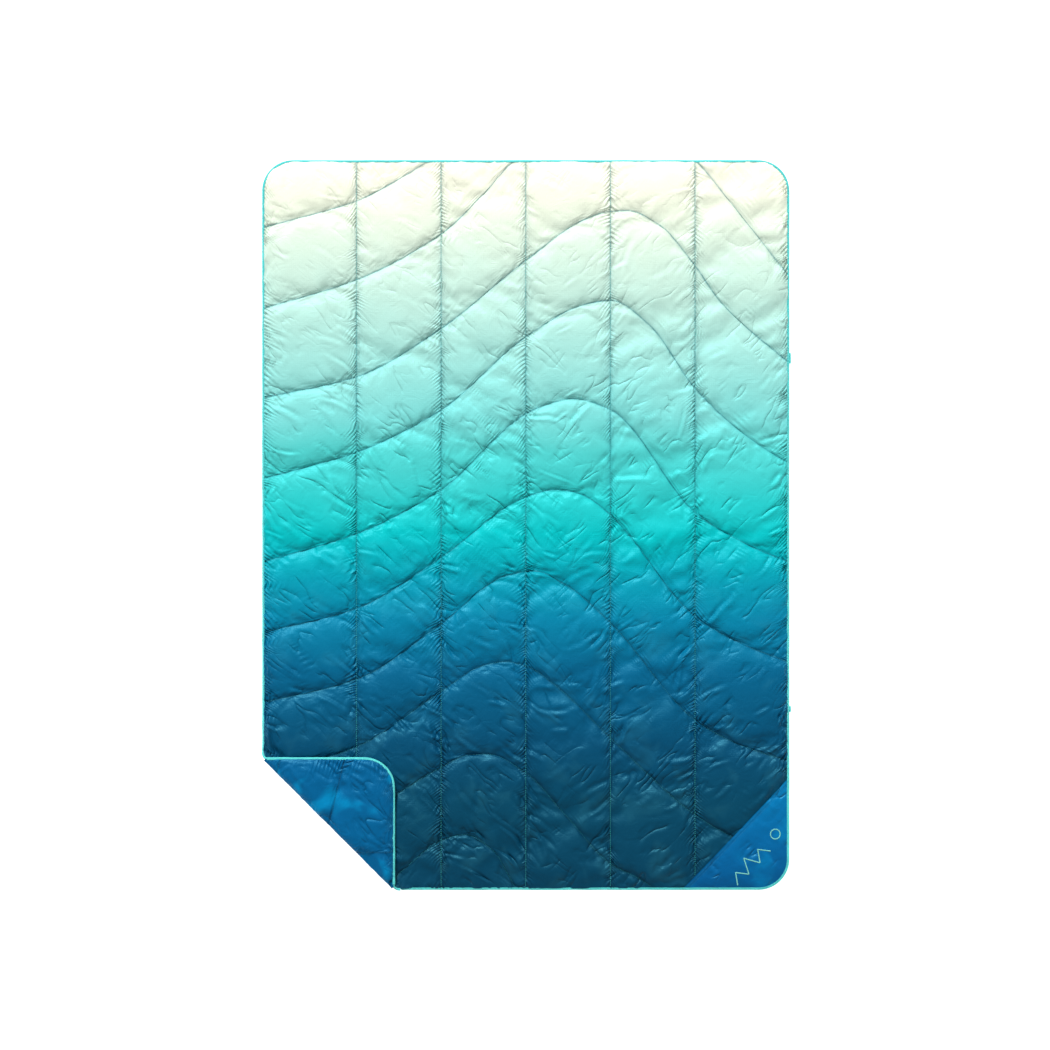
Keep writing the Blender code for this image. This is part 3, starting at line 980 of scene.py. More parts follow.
def crinkle_group() -> bpy.types.NodeTree:
    """Crinkles of thin coated cloth: rumples all over, long creases and herringbone ticks by the seams.

    Returns:
        The group, which puts out a Height, a Tone and a mask for patches of painted sheen.
    """
    inputs = {"Tick": 0.0, "Tick Depth": 0.0}
    group, nodes, start, end = new_group("crinkle", inputs, ("Height", "Tone", "Painted Sheen"))
    place = start.outputs["Place"]
    rumple = nodes.noise(place, 26.0, 4.0, Roughness=0.55, Distortion=1.1)
    wave = nodes.maths("SINE", nodes.maths("MULTIPLY", start.outputs["Tick"], math.tau))
    finer = nodes.maths("SINE", nodes.maths("MULTIPLY", start.outputs["Tick"], 2.3 * math.tau))
    herring = nodes.maths("ADD", wave, nodes.maths("MULTIPLY", finer, 0.5))
    sharp = nodes.maths("MULTIPLY", nodes.maths("MULTIPLY", herring, start.outputs["Tick Depth"]), 0.45)
    soft = nodes.maths("MULTIPLY", nodes.maths("ABSOLUTE", nodes.maths("SUBTRACT", rumple, 0.5)), -1.4)
    height = nodes.maths("ADD", nodes.maths("ADD", soft, sharp), long_creases(nodes, place))
    # Mask of soft patches where a painted sheen lightens the cloth's colour.
    painted_sheen_noise = nodes.noise(place, 12.0, 2.0, Roughness=0.55, Distortion=0.5)
    nodes.link(height, end.inputs["Height"])
    nodes.link(rumple, end.inputs["Tone"])
    nodes.link(nodes.spread(painted_sheen_noise, (0.50, 0.70)), end.inputs["Painted Sheen"])
    return group


class Finishes:
    """Makes each finish of the blanket once."""

    def __init__(self, plan: Plan) -> None:
        """Args: plan: the blanket's flat plan."""
        self.plan = plan
        self.weave = weave_group()
        self.crinkle = crinkle_group()
        self.made: dict[str, bpy.types.Material] = {}

    def shader(self, name: str) -> tuple[bpy.types.Material, Nodes, Node]:
        """A new material with its helper and its Principled node."""
        made = bpy.data.materials.new(name)
        made.use_nodes = True
        nodes = Nodes(made.node_tree)
        return made, nodes, made.node_tree.nodes["Principled BSDF"]

    def cloth(self, finish: "ClothFinish") -> bpy.types.Material:
        """The material of one cloth finish.

        Args:
            finish: colours, gloss, painted shade, painted sheen and painted glow of the cloth.

        Returns:
            The material.
        """
        if finish.name in self.made:
            return self.made[finish.name]
        made, nodes, skin = self.shader(finish.name)
        place = nodes.add("ShaderNodeUVMap", uv_map=CLOTH_UV).outputs[0]
        weave = nodes.add("ShaderNodeGroup", node_tree=self.weave)
        crinkle = nodes.add("ShaderNodeGroup", node_tree=self.crinkle)
        for group in (weave, crinkle):
            nodes.link(place, group.inputs["Place"])
        nodes.link(nodes.mark(TICK), crinkle.inputs["Tick"])
        nodes.link(nodes.mark(TICK_DEPTH), crinkle.inputs["Tick Depth"])
        # The dyed colour with its painted shade, before the painted sheen.
        plain = self.cloth_colour_with_painted_shade(nodes, finish, place, weave, crinkle)
        # Painted sheen: pale patches added to the base colour where the crinkle mask is high.
        painted_sheen_colour = tuple(finish.painted_sheen * c for c in finish.painted_sheen_tint)
        nodes.link(nodes.tint("ADD", crinkle.outputs["Painted Sheen"], plain, painted_sheen_colour), skin.inputs["Base Color"])
        # Painted glow: the cloth emits its own shaded colour, more towards the pale head end, so it reads
        # brighter than its lighting gives.
        nodes.link(plain, skin.inputs["Emission Color"])
        painted_glow_strength = nodes.spread(self.share_along(nodes, place), (0.55, 0.95), (0.0, finish.painted_glow))
        nodes.link(painted_glow_strength, skin.inputs["Emission Strength"])
        low, high = finish.roughness - Shading.cloth_spread, finish.roughness + Shading.cloth_spread
        rough = nodes.spread(crinkle.outputs["Tone"], (0.0, 1.0), (low, high), "LINEAR")
        nodes.link(rough, skin.inputs["Roughness"])
        skin.inputs["Specular IOR Level"].default_value = finish.gloss
        skin.inputs["Specular Tint"].default_value = (*finish.gloss_tint, 1)
        rumple = nodes.bump(crinkle.outputs["Height"], finish.crinkle, Shading.crinkle_depth)
        fine = nodes.bump(weave.outputs["Height"], 0.6, Shading.weave_depth)
        nodes.link(rumple.outputs[0], fine.inputs["Normal"])
        nodes.link(fine.outputs[0], skin.inputs["Normal"])
        self.made[finish.name] = made
        return made

    def share_along(self, nodes: Nodes, place: Socket) -> Socket:
        """How far along the blanket a flat place is, from 0 at the foot to 1 at the head."""
        split = nodes.add("ShaderNodeSeparateXYZ")
        nodes.link(place, split.inputs[0])
        from_foot = nodes.maths("ADD", split.outputs["Y"], self.plan.length / 2)
        return nodes.maths("DIVIDE", from_foot, self.plan.length)

    def cloth_colour_with_painted_shade(
        self, nodes: Nodes, finish: "ClothFinish", place: Socket, weave: Node, crinkle: Node
    ) -> Socket:
        """Colour of a cloth from its dyed ramp, with painted shade in the gathers and along the row and seam
        lines, and darker on the thicker threads.

        Args:
            nodes: the material's helper.
            finish: colours of the cloth.
            place: the flat place on the cloth.
            weave: the weave group's node.
            crinkle: the crinkle group's node.

        Returns:
            The colour.
        """
        ramp = nodes.add("ShaderNodeValToRGB")
        finish.fill_ramp(ramp.color_ramp)
        wander = nodes.maths("SUBTRACT", nodes.noise(place, 5.0, 2.0), 0.5)
        drift = nodes.maths("MULTIPLY", wander, Shading.colour_wander)
        nodes.link(nodes.maths("ADD", self.share_along(nodes, place), drift), ramp.inputs[0])
        # Painted shade: the colour is darkened in the gathers beside seams, rows and edges.
        painted_shade_amount = nodes.maths("MULTIPLY", nodes.mark(PAINTED_SHADE), finish.painted_shade_share)
        shade = nodes.tint("MULTIPLY", painted_shade_amount, ramp.outputs[0], finish.painted_shade_tint)
        # Painted shade: a thin dark line along each row and seam, broken up by the crinkle tone.
        broken = nodes.spread(crinkle.outputs["Tone"], (0.42, 0.60), (0.30, 0.85), "LINEAR")
        painted_line_amount = nodes.maths("MULTIPLY", nodes.mark(PAINTED_LINE_SHADE), broken)
        sewn = nodes.tint("MULTIPLY", painted_line_amount, shade, finish.painted_line_shade_tint)
        thread = nodes.maths("MULTIPLY", weave.outputs["Thread"], 0.35)
        return nodes.tint("MULTIPLY", thread, sewn, (Shading.weave_shade,) * 3)

    def thread(self, finish: "ThreadFinish") -> bpy.types.Material:
        """The material of one thread or tape finish.

        Args:
            finish: its colour, gloss and rib spacing.

        Returns:
            The material.
        """
        if finish.name in self.made:
            return self.made[finish.name]
        made, nodes, skin = self.shader(finish.name)
        place = nodes.add("ShaderNodeTexCoord").outputs["Object"]
        turned = nodes.add("ShaderNodeMapping", Rotation=(0, 0, math.radians(45)))
        nodes.link(place, turned.inputs["Vector"])
        ribs = nodes.add("ShaderNodeTexWave", Scale=1.0 / finish.rib, Distortion=0.4, Detail=1.0)
        nodes.link(turned.outputs[0], ribs.inputs["Vector"])
        fade = nodes.noise(place, 70.0, 3.0)
        tone = nodes.add("ShaderNodeValToRGB")
        for stop, where, share in zip(tone.color_ramp.elements, (0.3, 0.7), (Shading.worn, 1.0)):
            stop.position = where
            stop.color = (*(share * c for c in finish.colour), 1)
        nodes.link(fade, tone.inputs[0])
        nodes.link(tone.outputs[0], skin.inputs["Base Color"])
        low, high = finish.roughness - Shading.thread_spread, finish.roughness + Shading.thread_spread
        nodes.link(nodes.spread(fade, (0.0, 1.0), (low, high), "LINEAR"), skin.inputs["Roughness"])
        skin.inputs["Specular IOR Level"].default_value = 0.3
        nodes.link(nodes.bump(ribs.outputs["Fac"], 0.5, 0.35 * finish.rib).outputs[0], skin.inputs["Normal"])
        self.made[finish.name] = made
        return made


@dataclass(frozen=True)
class ClothFinish:
    """Colours, gloss, painted shade, painted sheen and painted glow of one cloth. Stops run from the foot
    (0) to the head (1).
    """

    name: str
    stops: tuple[tuple[float, str], ...]
    roughness: float = 0.42
    gloss: float = 0.45
    gloss_tint: Colour = (0.20, 0.82, 1.0)
    # Tint and amount of the painted shade in the gathers.
    painted_shade_tint: Colour = (0.45, 0.55, 0.60)
    painted_shade_share: float = 0.6
    # Tint of the painted dark line of shade along rows and seams.
    painted_line_shade_tint: Colour = (0.22, 0.36, 0.40)
    crinkle: float = 0.7
    # Strength and tint of the painted sheen patches.
    painted_sheen: float = 0.020
    painted_sheen_tint: Colour = (0.20, 1.0, 1.1)
    # Strength of the painted glow at the head end.
    painted_glow: float = 0.17
    whitest: float = 0.95

    def fill_ramp(self, ramp: bpy.types.ColorRamp) -> None:
        """Puts the cloth's colours on a colour ramp.

        Args:
            ramp: the ramp, whose old stops are dropped.
        """
        while len(ramp.elements) > 1:
            ramp.elements.remove(ramp.elements[-1])
        for index, (place, code) in enumerate(self.stops):
            stop = ramp.elements[0] if index == 0 else ramp.elements.new(place)
            stop.position = place
            stop.color = (*(min(c, self.whitest) for c in linear(code)), 1)


@dataclass(frozen=True)
class ThreadFinish:
    """Colour of one thread or tape."""

    name: str
    colour: Colour
    roughness: float = 0.55
    rib: float = 0.0016


FRONT = ClothFinish(
    "shaded_ripstop",
    (
        (0.00, "023B58"), (0.12, "02415E"), (0.20, "01486D"), (0.30, "00628C"), (0.37, "0082A7"),
        (0.42, "009BB3"), (0.49, "00C4C6"), (0.53, "28D0CE"), (0.60, "54D3CE"), (0.65, "82DFDA"),
        (0.75, "ABE2D7"), (0.85, "CDE9D8"), (0.93, "ECF4DE"), (0.97, "FFFEE3"),
    ),
)
# The back and patch cloths carry stronger painted sheen patches and no painted glow.
BACK = ClothFinish(
    "plain_ripstop", ((0.0, "005E93"), (1.0, "005E93")), roughness=0.40, gloss=0.42, painted_sheen=0.14,
    painted_sheen_tint=(0.0, 0.9, 1.6), painted_glow=0.0
)
PATCH = ClothFinish(
    "patch_ripstop", ((0.0, "005590"), (0.08, "0066A2"), (0.153, "007AB6")), roughness=0.36, gloss=0.5,
    painted_sheen=0.07, painted_sheen_tint=(0.0, 0.9, 1.5), painted_glow=0.0
)
TAPE = ThreadFinish("binding_tape", linear("60E8E4"))
THREAD = ThreadFinish("quilting_thread", linear("2FA8B4"), rib=0.0009)
SEAM_THREAD = ThreadFinish("seam_thread", linear("46CBC8"), rib=0.0009)
MINT = ThreadFinish("mint_thread", linear("8FE8D8"), rib=0.0009)
BACK_THREAD = ThreadFinish("flap_thread", linear("2A86AE"), rib=0.0009)
HEM_THREAD = ThreadFinish("hem_thread", linear("2C92C4"), rib=0.0009)
LOFT = ThreadFinish("loft_fibre", linear("F2F2EE"), roughness=0.9, rib=0.004)


def dress(piece: Piece, material: bpy.types.Material) -> None:
    """Gives the piece one material."""
    piece.data.materials.clear()
    piece.data.materials.append(material)


# --------------------------------------------------------------------------- shaping


@dataclass(frozen=True)
class Shaper:
    """Bends copies of the flat cloth to the back of the blanket, the fold and the turned-up corner."""

    plan: Plan
    patch: "Patch"
    reach: float = 0.034
    crease_front: float = 0.0213
    crease_back: float = 0.0170
    seam_back: float = 0.0036
    corner_front: float = 0.0200
    corner_back: float = 0.0125
    edge_back: float = 0.0160
    rim_reach: float = 0.030
    tuck_reach: float = 0.022
    tuck_depth: float = 0.0022

    def lift(self, flat: np.ndarray) -> np.ndarray:
        """How far the back has risen towards the crease, from 0 to 1, round a quarter ellipse."""
        near = np.clip(1 - np.abs(self.plan.crease_distance(*flat.T)) / self.reach, 0, 1)
        return 1 - np.sqrt(1 - near**2)

    def front(self, piece: Piece) -> None:
        """Raises the front cloth at the crease and tucks it under the patch.

        Args:
            piece: the front cloth.
        """
        points, flat = read_points(piece.data), flat_places(piece)
        near = smooth(1 - self.plan.crease_distance(*flat.T) / self.reach)
        z = points[:, 2] + (self.crease_front - points[:, 2]) * near
        under = self.patch.height_at(*flat.T) - self.tuck_depth
        tuck = smooth(1 + self.plan.patch_depth(*flat.T) / self.tuck_reach)
        points[:, 2] = z + (np.minimum(under, z) - z) * tuck
        write_points(piece.data, points)

    def corner_inside(self, piece: Piece) -> None:
        """Presses the front cloth of the corner flat and turns it up."""
        points = read_points(piece.data)
        points[:, 2] = np.clip(self.corner_front + 0.12 * (points[:, 2] - 0.012), 0.0185, self.crease_front)
        write_points(piece.data, points)
        self.turn(piece)

    def back(self, piece: Piece) -> None:
        """Lays the cloth on the floor as the back, rising to the crease."""
        points, flat = read_points(piece.data), flat_places(piece)
        z = np.clip(self.seam_back - 0.45 * (points[:, 2] - SEAM_HEIGHT), 0.0001, self.seam_back)
        points[:, 2] = z + (self.crease_back - z) * self.lift(flat)
        write_points(piece.data, points)
        face_out(piece, down=True)

    def corner_outside(self, piece: Piece) -> None:
        """Puffs the back cloth of the corner, draws its rim in and turns it up.

        Args:
            piece: the back cloth of the corner.
        """
        points, flat = read_points(piece.data), flat_places(piece)
        z = self.corner_back - 0.78 * (points[:, 2] - SEAM_HEIGHT)
        rim = np.clip(1 - self.plan.edge_distance(*flat.T) / self.rim_reach, 0, 1)
        z += (self.edge_back - z) * (1 - np.sqrt(1 - rim**2))
        z += (self.crease_back - z) * self.lift(flat)
        points[:, 2] = np.clip(z, 0.002, 0.0175)
        write_points(piece.data, points)
        face_out(piece, down=True)
        self.turn(piece)

    def turn(self, piece: Piece) -> None:
        """Turns a piece of the corner over the front."""
        piece.data.transform(self.plan.turn_up())
        piece.data.update()


def face_out(piece: Piece, down: bool) -> None:
    """Turns the faces of an open cloth one way.

    Args:
        piece: the cloth.
        down: whether the faces point down rather than up.
    """
    mesh = bmesh.new()
    mesh.from_mesh(piece.data)
    mean = sum(f.normal.z for f in mesh.faces[:])
    if (mean > 0) == down:
        bmesh.ops.reverse_faces(mesh, faces=mesh.faces[:])
    mesh.to_mesh(piece.data)
    mesh.free()


def flat_area(piece: Piece) -> tuple[tuple[float, float], float]:
    """Flat cut of a cloth.

    Args:
        piece: a cloth with its flat places in its UV map.

    Returns:
        The cut's width and length, and its area.
    """
    flat = flat_places(piece)
    size = tuple(float(v) for v in np.ptp(flat, axis=0))
    piece.data.calc_loop_triangles()
    index = np.empty(len(piece.data.loop_triangles) * 3, np.int32)
    piece.data.loop_triangles.foreach_get("vertices", index)
    a, b, c = flat[index.reshape(-1, 3)].transpose(1, 0, 2)
    cross = (b - a)[:, 0] * (c - a)[:, 1] - (b - a)[:, 1] * (c - a)[:, 0]
    return size, float(np.abs(cross).sum() / 2)


def declare(piece: Piece) -> None:
    """Logs a cloth's face count and the size and area of its flat cut.

    Args:
        piece: the cloth.
    """
    size, area = flat_area(piece)
    area = min(area, 0.999 * size[0] * size[1])
    if area < 0.32 * size[0] * size[1]:
        size = (size[0], area / (0.6 * size[0]))
    LOG.info("%s: %d faces, flat %.3f x %.3f, area %.4f", piece.name, len(piece.data.polygons), *size, area)


def strip_mesh(name: str, rows: np.ndarray, thickness: float = 0.0) -> Piece:
    """A band of cloth or tape whose grid points are given row by row.

    Args:
        name: the piece's name.
        rows: places of the band, first along it and then across it.
        thickness: how thick the tape is, or 0 for a single layer.

    Returns:
        The new piece.
    """
    along, across = rows.shape[0], rows.shape[1]
    mesh = bmesh.new()
    bmesh.ops.create_grid(mesh, x_segments=along - 1, y_segments=across - 1, size=0.5)
    for vertex in mesh.verts:
        i = round((vertex.co.x + 0.5) * (along - 1))
        j = round((vertex.co.y + 0.5) * (across - 1))
        vertex.co = rows[i, j]
    bmesh.ops.recalc_face_normals(mesh, faces=mesh.faces[:])
    if thickness:
        bmesh.ops.solidify(mesh, geom=mesh.faces[:], thickness=thickness)
        bmesh.ops.recalc_face_normals(mesh, faces=mesh.faces[:])
    return finish_mesh(mesh, name, 50)


# --------------------------------------------------------------------------- patch


@dataclass(frozen=True)
class Patch:
    """The plain cloth patch over the lower right corner, with a hem and a line of peaks."""

    plan: Plan
    rim: float = 0.0062
    puff: float = 0.0108
    hems: tuple[float, ...] = (0.005, 0.010)
    blank: float = 0.32
    inset: float = 0.0026
    spacing: float = 0.0030
    motif_steps: int = 7
    ring_radius: float = 0.0125

    def height_at(self, x: np.ndarray, y: np.ndarray) -> np.ndarray:
        """Height of the patch.

        Args:
            x: places across the blanket.
            y: places along the blanket.

        Returns:
            One height for each place.
        """
        edge = np.maximum(self.plan.edge_distance(x, y), 0)
        depth = self.plan.patch_depth(x, y)
        noise = Noise(31)
        along = (x + y) / 0.030
        ripple = 0.0011 * noise.at(along, depth / 0.055) + 0.0007 * noise.at(along * 2.3 + 4, depth / 0.02)
        pull = np.exp(-np.abs(depth - self.hems[1]) / 0.006) * 0.0018
        return self.rim + self.puff * (1 - np.exp(-edge / 0.035)) + ripple * smooth(edge / 0.02) - pull

    def build(self, name: str) -> Piece:
        """The patch as a single layer.

        Args:
            name: the piece's name.

        Returns:
            The patch, cut to the hem and the rounded corner.
        """
        half_x, half_y = self.plan.width / 2, self.plan.length / 2
        mesh, half = bmesh.new(), self.blank / 2
        steps = round(self.blank / self.spacing)
        bmesh.ops.create_grid(mesh, x_segments=steps, y_segments=steps, size=half)
        bmesh.ops.translate(mesh, vec=(half_x - half, -half_y + half, 0), verts=mesh.verts[:])
        hem = Vector((self.plan.patch_side, -self.plan.patch_foot, 0)).normalized()
        hem_plane = (Vector((half_x - self.plan.patch_foot, -half_y, 0)), -hem)
        trim(mesh, [*Cutter(self.plan, inset=self.inset).planes(), hem_plane])
        piece = finish_mesh(mesh, name)
        points = read_points(piece.data)
        keep_uv(piece, points[:, :2])
        points[:, 2] = self.height_at(points[:, 0], points[:, 1])
        write_points(piece.data, points)
        blank_marks(piece)
        return piece

    def hem_frame(self) -> tuple[np.ndarray, np.ndarray, np.ndarray]:
        """The foot end of the hem, its run to the side edge, and the way in from it."""
        hem = np.array([self.plan.patch_foot, self.plan.patch_side])
        inward = np.array([self.plan.patch_side, -self.plan.patch_foot]) / np.hypot(*hem)
        return np.array([self.plan.width / 2 - self.plan.patch_foot, -self.plan.length / 2]), hem, inward

    def hem_path(self, depth: float) -> np.ndarray:
        """Plan points of one hem line, this far inside the hem."""
        start, hem, inward = self.hem_frame()
        return start + np.linspace(0.0, 1.0, 240)[:, None] * hem + depth * inward

    def motif_paths(self) -> list[np.ndarray]:
        """Plan points of the embroidered line of peaks and of the plain ring beside it."""
        start, hem, inward = self.hem_frame()
        way = hem / np.hypot(*hem)
        peaks = []
        for step in range(self.motif_steps):
            depth = 0.096 if step % 2 == 0 else (0.058 if step == 3 else 0.068)
            peaks.append(start + way * (0.106 + 0.0205 * step) + inward * depth)
        turn = np.linspace(0, 2 * math.pi, 60)[:, None]
        along, deep = 0.268 + self.ring_radius * np.cos(turn), 0.074 + self.ring_radius * np.sin(turn)
        return [resample(np.array(peaks), 0.0013), start + way * along + inward * deep]


def resample(path: np.ndarray, pitch: float) -> np.ndarray:
    """Points evenly spaced along a line of points."""
    run = np.concatenate([[0], np.cumsum(np.hypot(*np.diff(path, axis=0).T))])
    places = np.arange(pitch / 2, run[-1], pitch)
    return np.column_stack([np.interp(places, run, path[:, k]) for k in (0, 1)])


# --------------------------------------------------------------------------- stitching


@dataclass(frozen=True)
class Stitch:
    """One kind of stitch: a rounded length of thread lying on the cloth."""

    pitch: float = 0.0055
    length: float = 0.0038
    width: float = 0.0013
    height: float = 0.0010
    lift: float = 0.0002
    across: bool = False
    from_below: bool = False

    def sew(self, name: str, paths: list[np.ndarray], surface: BVHTree) -> Piece:
        """Sews stitches along plan lines, each one laid on the surface.

        Args:
            name: the piece's name.
            paths: plan points of each line.
            surface: what the stitches lie on.

        Returns:
            The stitches as one piece.
        """
        way = Vector((0, 0, 1 if self.from_below else -1))
        whole = bmesh.new()
        for path in paths:
            line = bmesh.new()
            places = resample(path, self.pitch)
            if len(places) < 2:
                line.free()
                continue
            heading = np.gradient(places, axis=0)
            turn = np.arctan2(heading[:, 1], heading[:, 0]) + (math.pi / 2 if self.across else 0)
            for (x, y), angle in zip(places, turn):
                hit, _, _, _ = surface.ray_cast(Vector((x, y, -way.z * 0.08)), way)
                if hit is None:
                    continue
                place = Matrix.Translation(hit - way * self.lift) @ Matrix.Rotation(angle, 4, "Z")
                shape = Matrix.Diagonal((self.length / 2, self.width / 2, self.height / 2, 1))
                bmesh.ops.create_icosphere(line, subdivisions=1, radius=1, matrix=place @ shape)
            part = bpy.data.meshes.new("line")
            line.to_mesh(part)
            line.free()
            whole.from_mesh(part)
            bpy.data.meshes.remove(part)
        return finish_mesh(whole, name)


@dataclass(frozen=True)
class Quilting:
    """The lines of stitching, cut to each part of the cloth."""

    plan: Plan
    margin: float = 0.0075
    crease_gap: float = 0.004
    patch_gap: float = 0.001
    shortest: int = 8

    def seam_paths(self) -> list[np.ndarray]:
        """Plan points of the straight seams."""
        y = np.linspace(-self.plan.length / 2, self.plan.length / 2, 1500)
        return [np.column_stack([np.full(len(y), x), y]) for x in self.plan.seams]

    def row_paths(self) -> list[np.ndarray]:
        """Plan points of the contour rows."""
        x = np.linspace(-self.plan.width / 2, self.plan.width / 2, 1500)
        return [np.column_stack([x, row.at(x)]) for row in self.plan.rows]

    def trim(self, paths: list[np.ndarray], side: Side, patch: bool = True) -> list[np.ndarray]:
        """Runs of the lines that lie on one part of the cloth.

        Args:
            paths: plan points of whole lines.
            side: the part of the cloth.
            patch: whether the lines stop at the patch.

        Returns:
            The runs that are left.
        """
        runs = []
        for path in paths:
            x, y = path.T
            keep = self.plan.edge_distance(x, y) > self.margin
            away = self.plan.crease_distance(x, y)
            keep &= away > self.crease_gap if side is Side.MAIN else away < -self.crease_gap
            if patch:
                keep &= self.plan.patch_depth(x, y) < -self.patch_gap
            starts = np.flatnonzero(np.diff(np.concatenate([[0], keep.astype(int), [0]])))
            runs += [path[a:b] for a, b in zip(starts[::2], starts[1::2]) if b - a > self.shortest]
        return runs

    def turned(self, paths: list[np.ndarray]) -> list[np.ndarray]:
        """The lines after the corner is turned up."""
        return [np.column_stack([self.plan.crease - p[:, 1], self.plan.crease - p[:, 0]]) for p in paths]


def surface_of(*pieces: Piece) -> BVHTree:
    """A tree for ray casts on the pieces."""
    mesh = bmesh.new()
    for piece in pieces:
        mesh.from_mesh(piece.data)
    tree = BVHTree.FromBMesh(mesh)
    mesh.free()
    return tree


# --------------------------------------------------------------------------- binding


@dataclass(frozen=True)
class Binding:
    """Tape folded round the edge of the blanket."""

    plan: Plan
    shaper: Shaper
    width: float = 0.0050
    half_height: float = 0.0033
    bulge: float = 0.0010
    thickness: float = 0.0006
    step: float = 0.0040
    mid: float = 0.0042
    corner_mid: float = 0.0180
    crease_mid: float = 0.0190
    stitch_inset: float = 0.0038
    bend_radius: float = 0.013
    bend_ends: Pair = (174, 276)
    bend_steps: int = 26
    bend_mid: float = 0.0188
    bend_rise: float = 0.0072
    bend_swell: float = 0.0031
    section_steps: int = 9

    def outline(self) -> np.ndarray:
        """Edge of the whole blanket from the middle of the left side, clockwise.

        Returns:
            Rows of x, y and the outward direction's x, y.
        """
        half_x, half_y, r = self.plan.width / 2, self.plan.length / 2, self.plan.corner_radius
        rows = []
        corners = ((-1, 1, 180), (1, 1, 90), (1, -1, 0), (-1, -1, -90))
        for sx, sy, start in corners:
            centre = (sx * (half_x - r), sy * (half_y - r))
            for step in range(31):
                a = math.radians(start - 3 * step)
                way = (math.cos(a), math.sin(a))
                rows.append((centre[0] + r * way[0], centre[1] + r * way[1], *way))
        rows = np.array(rows + rows[:1])
        run = np.concatenate([[0], np.cumsum(np.hypot(*np.diff(rows[:, :2], axis=0).T))])
        places = np.arange(0, run[-1], self.step)
        return np.column_stack([np.interp(places, run, rows[:, k]) for k in range(4)])

    def split(self) -> tuple[np.ndarray, np.ndarray]:
        """The outline's run round the main part and its run round the corner."""
        rows = self.outline()
        away = self.plan.crease_distance(rows[:, 0], rows[:, 1])
        reach = self.bend_radius / math.sqrt(2)
        corner = np.flatnonzero(away < -reach)
        start, end = corner[0], corner[-1]
        main = np.flatnonzero(away > reach)
        after = main[main > end]
        before = main[main < start]
        return rows[np.concatenate([after, before])], rows[start : end + 1]

    def tape(self, name: str, rows: np.ndarray, mids: np.ndarray) -> Piece:
        """Folded tape along an edge line.

        Args:
            name: the piece's name.
            rows: x, y and outward direction of each point of the edge.
            mids: height of the tape's middle at each point.

        Returns:
            The tape.
        """
        noise, n = Noise(17), np.arange(len(rows))
        sway = 0.0003 * noise.at(n / 9.0, n * 0.0)
        tall = self.half_height * (1 + 0.12 * noise.at(n / 6.0, n * 0.0 + 7))
        phi = np.linspace(-math.pi / 2, math.pi / 2, self.section_steps)
        out = self.bulge + 0.0015 * (np.cos(phi) - 1)
        out = np.concatenate([[-self.width], out, [-self.width]])
        rise = np.concatenate([[-1.04], np.sin(phi), [1.04]])
        across = out[None, :] + sway[:, None]
        x = rows[:, 0, None] + rows[:, 2, None] * across
        y = rows[:, 1, None] + rows[:, 3, None] * across
        z = mids[:, None] + tall[:, None] * rise[None, :]
        return strip_mesh(name, np.stack([x, y, z], axis=-1), self.thickness)

    def main(self) -> Piece:
        """The tape round the main part, rising to the crease at both ends."""
        rows, _ = self.split()
        lift = self.shaper.lift(rows[:, :2])
        return self.tape("binding_main", rows, self.mid + (self.crease_mid - self.mid) * lift)

    def corner(self) -> Piece:
        """The tape round the turned-up corner."""
        _, rows = self.split()
        tape = self.tape("binding_flap", rows, np.full(len(rows), self.corner_mid))
        self.shaper.turn(tape)
        return tape

    def bend(self, name: str, at_foot: bool) -> Piece:
        """The rolled end of the crease, where the tape goes over the fold.

        Args:
            name: the piece's name.
            at_foot: True for the end on the foot, False for the end on the left side.

        Returns:
            A rounded length of tape.
        """
        end_y, end_x = self.plan.crease_ends()
        r, edge_run, flap_run = self.bend_radius, self.bend_radius - 0.0022, self.bend_radius + 0.0020
        if at_foot:
            centre, ends = (end_x + r, -self.plan.length / 2 + r), self.bend_ends[::-1]
            across, along = flap_run, edge_run
        else:
            centre, ends = (-self.plan.width / 2 + r, end_y + r), self.bend_ends
            across, along = edge_run, flap_run
        angles = np.radians(np.linspace(*ends, self.bend_steps))
        mid = self.bend_mid + self.bend_rise * np.linspace(0, 1, self.bend_steps)
        ring = np.linspace(0, 2 * math.pi, 13)
        swell = self.bend_swell * np.cos(ring)[None, :]
        x = centre[0] + np.cos(angles)[:, None] * (across + swell)
        y = centre[1] + np.sin(angles)[:, None] * (along + swell)
        z = mid[:, None] + self.half_height * np.sin(ring)[None, :]
        bend = strip_mesh(name, np.stack([x, y, z], axis=-1))
        mesh = bmesh.new()
        mesh.from_mesh(bend.data)
        bmesh.ops.remove_doubles(mesh, verts=mesh.verts[:], dist=WELD_TOLERANCE)
        bmesh.ops.holes_fill(mesh, edges=[e for e in mesh.edges if e.is_boundary])
        bmesh.ops.recalc_face_normals(mesh, faces=mesh.faces[:])
        mesh.to_mesh(bend.data)
        mesh.free()
        return bend

    def stitch_paths(self) -> tuple[list[np.ndarray], list[np.ndarray]]:
        """Plan lines of the stitching that holds the tape, main part and corner."""
        main, corner = self.split()
        return tuple([run[:, :2] - self.stitch_inset * run[:, 2:]] for run in (main, corner))


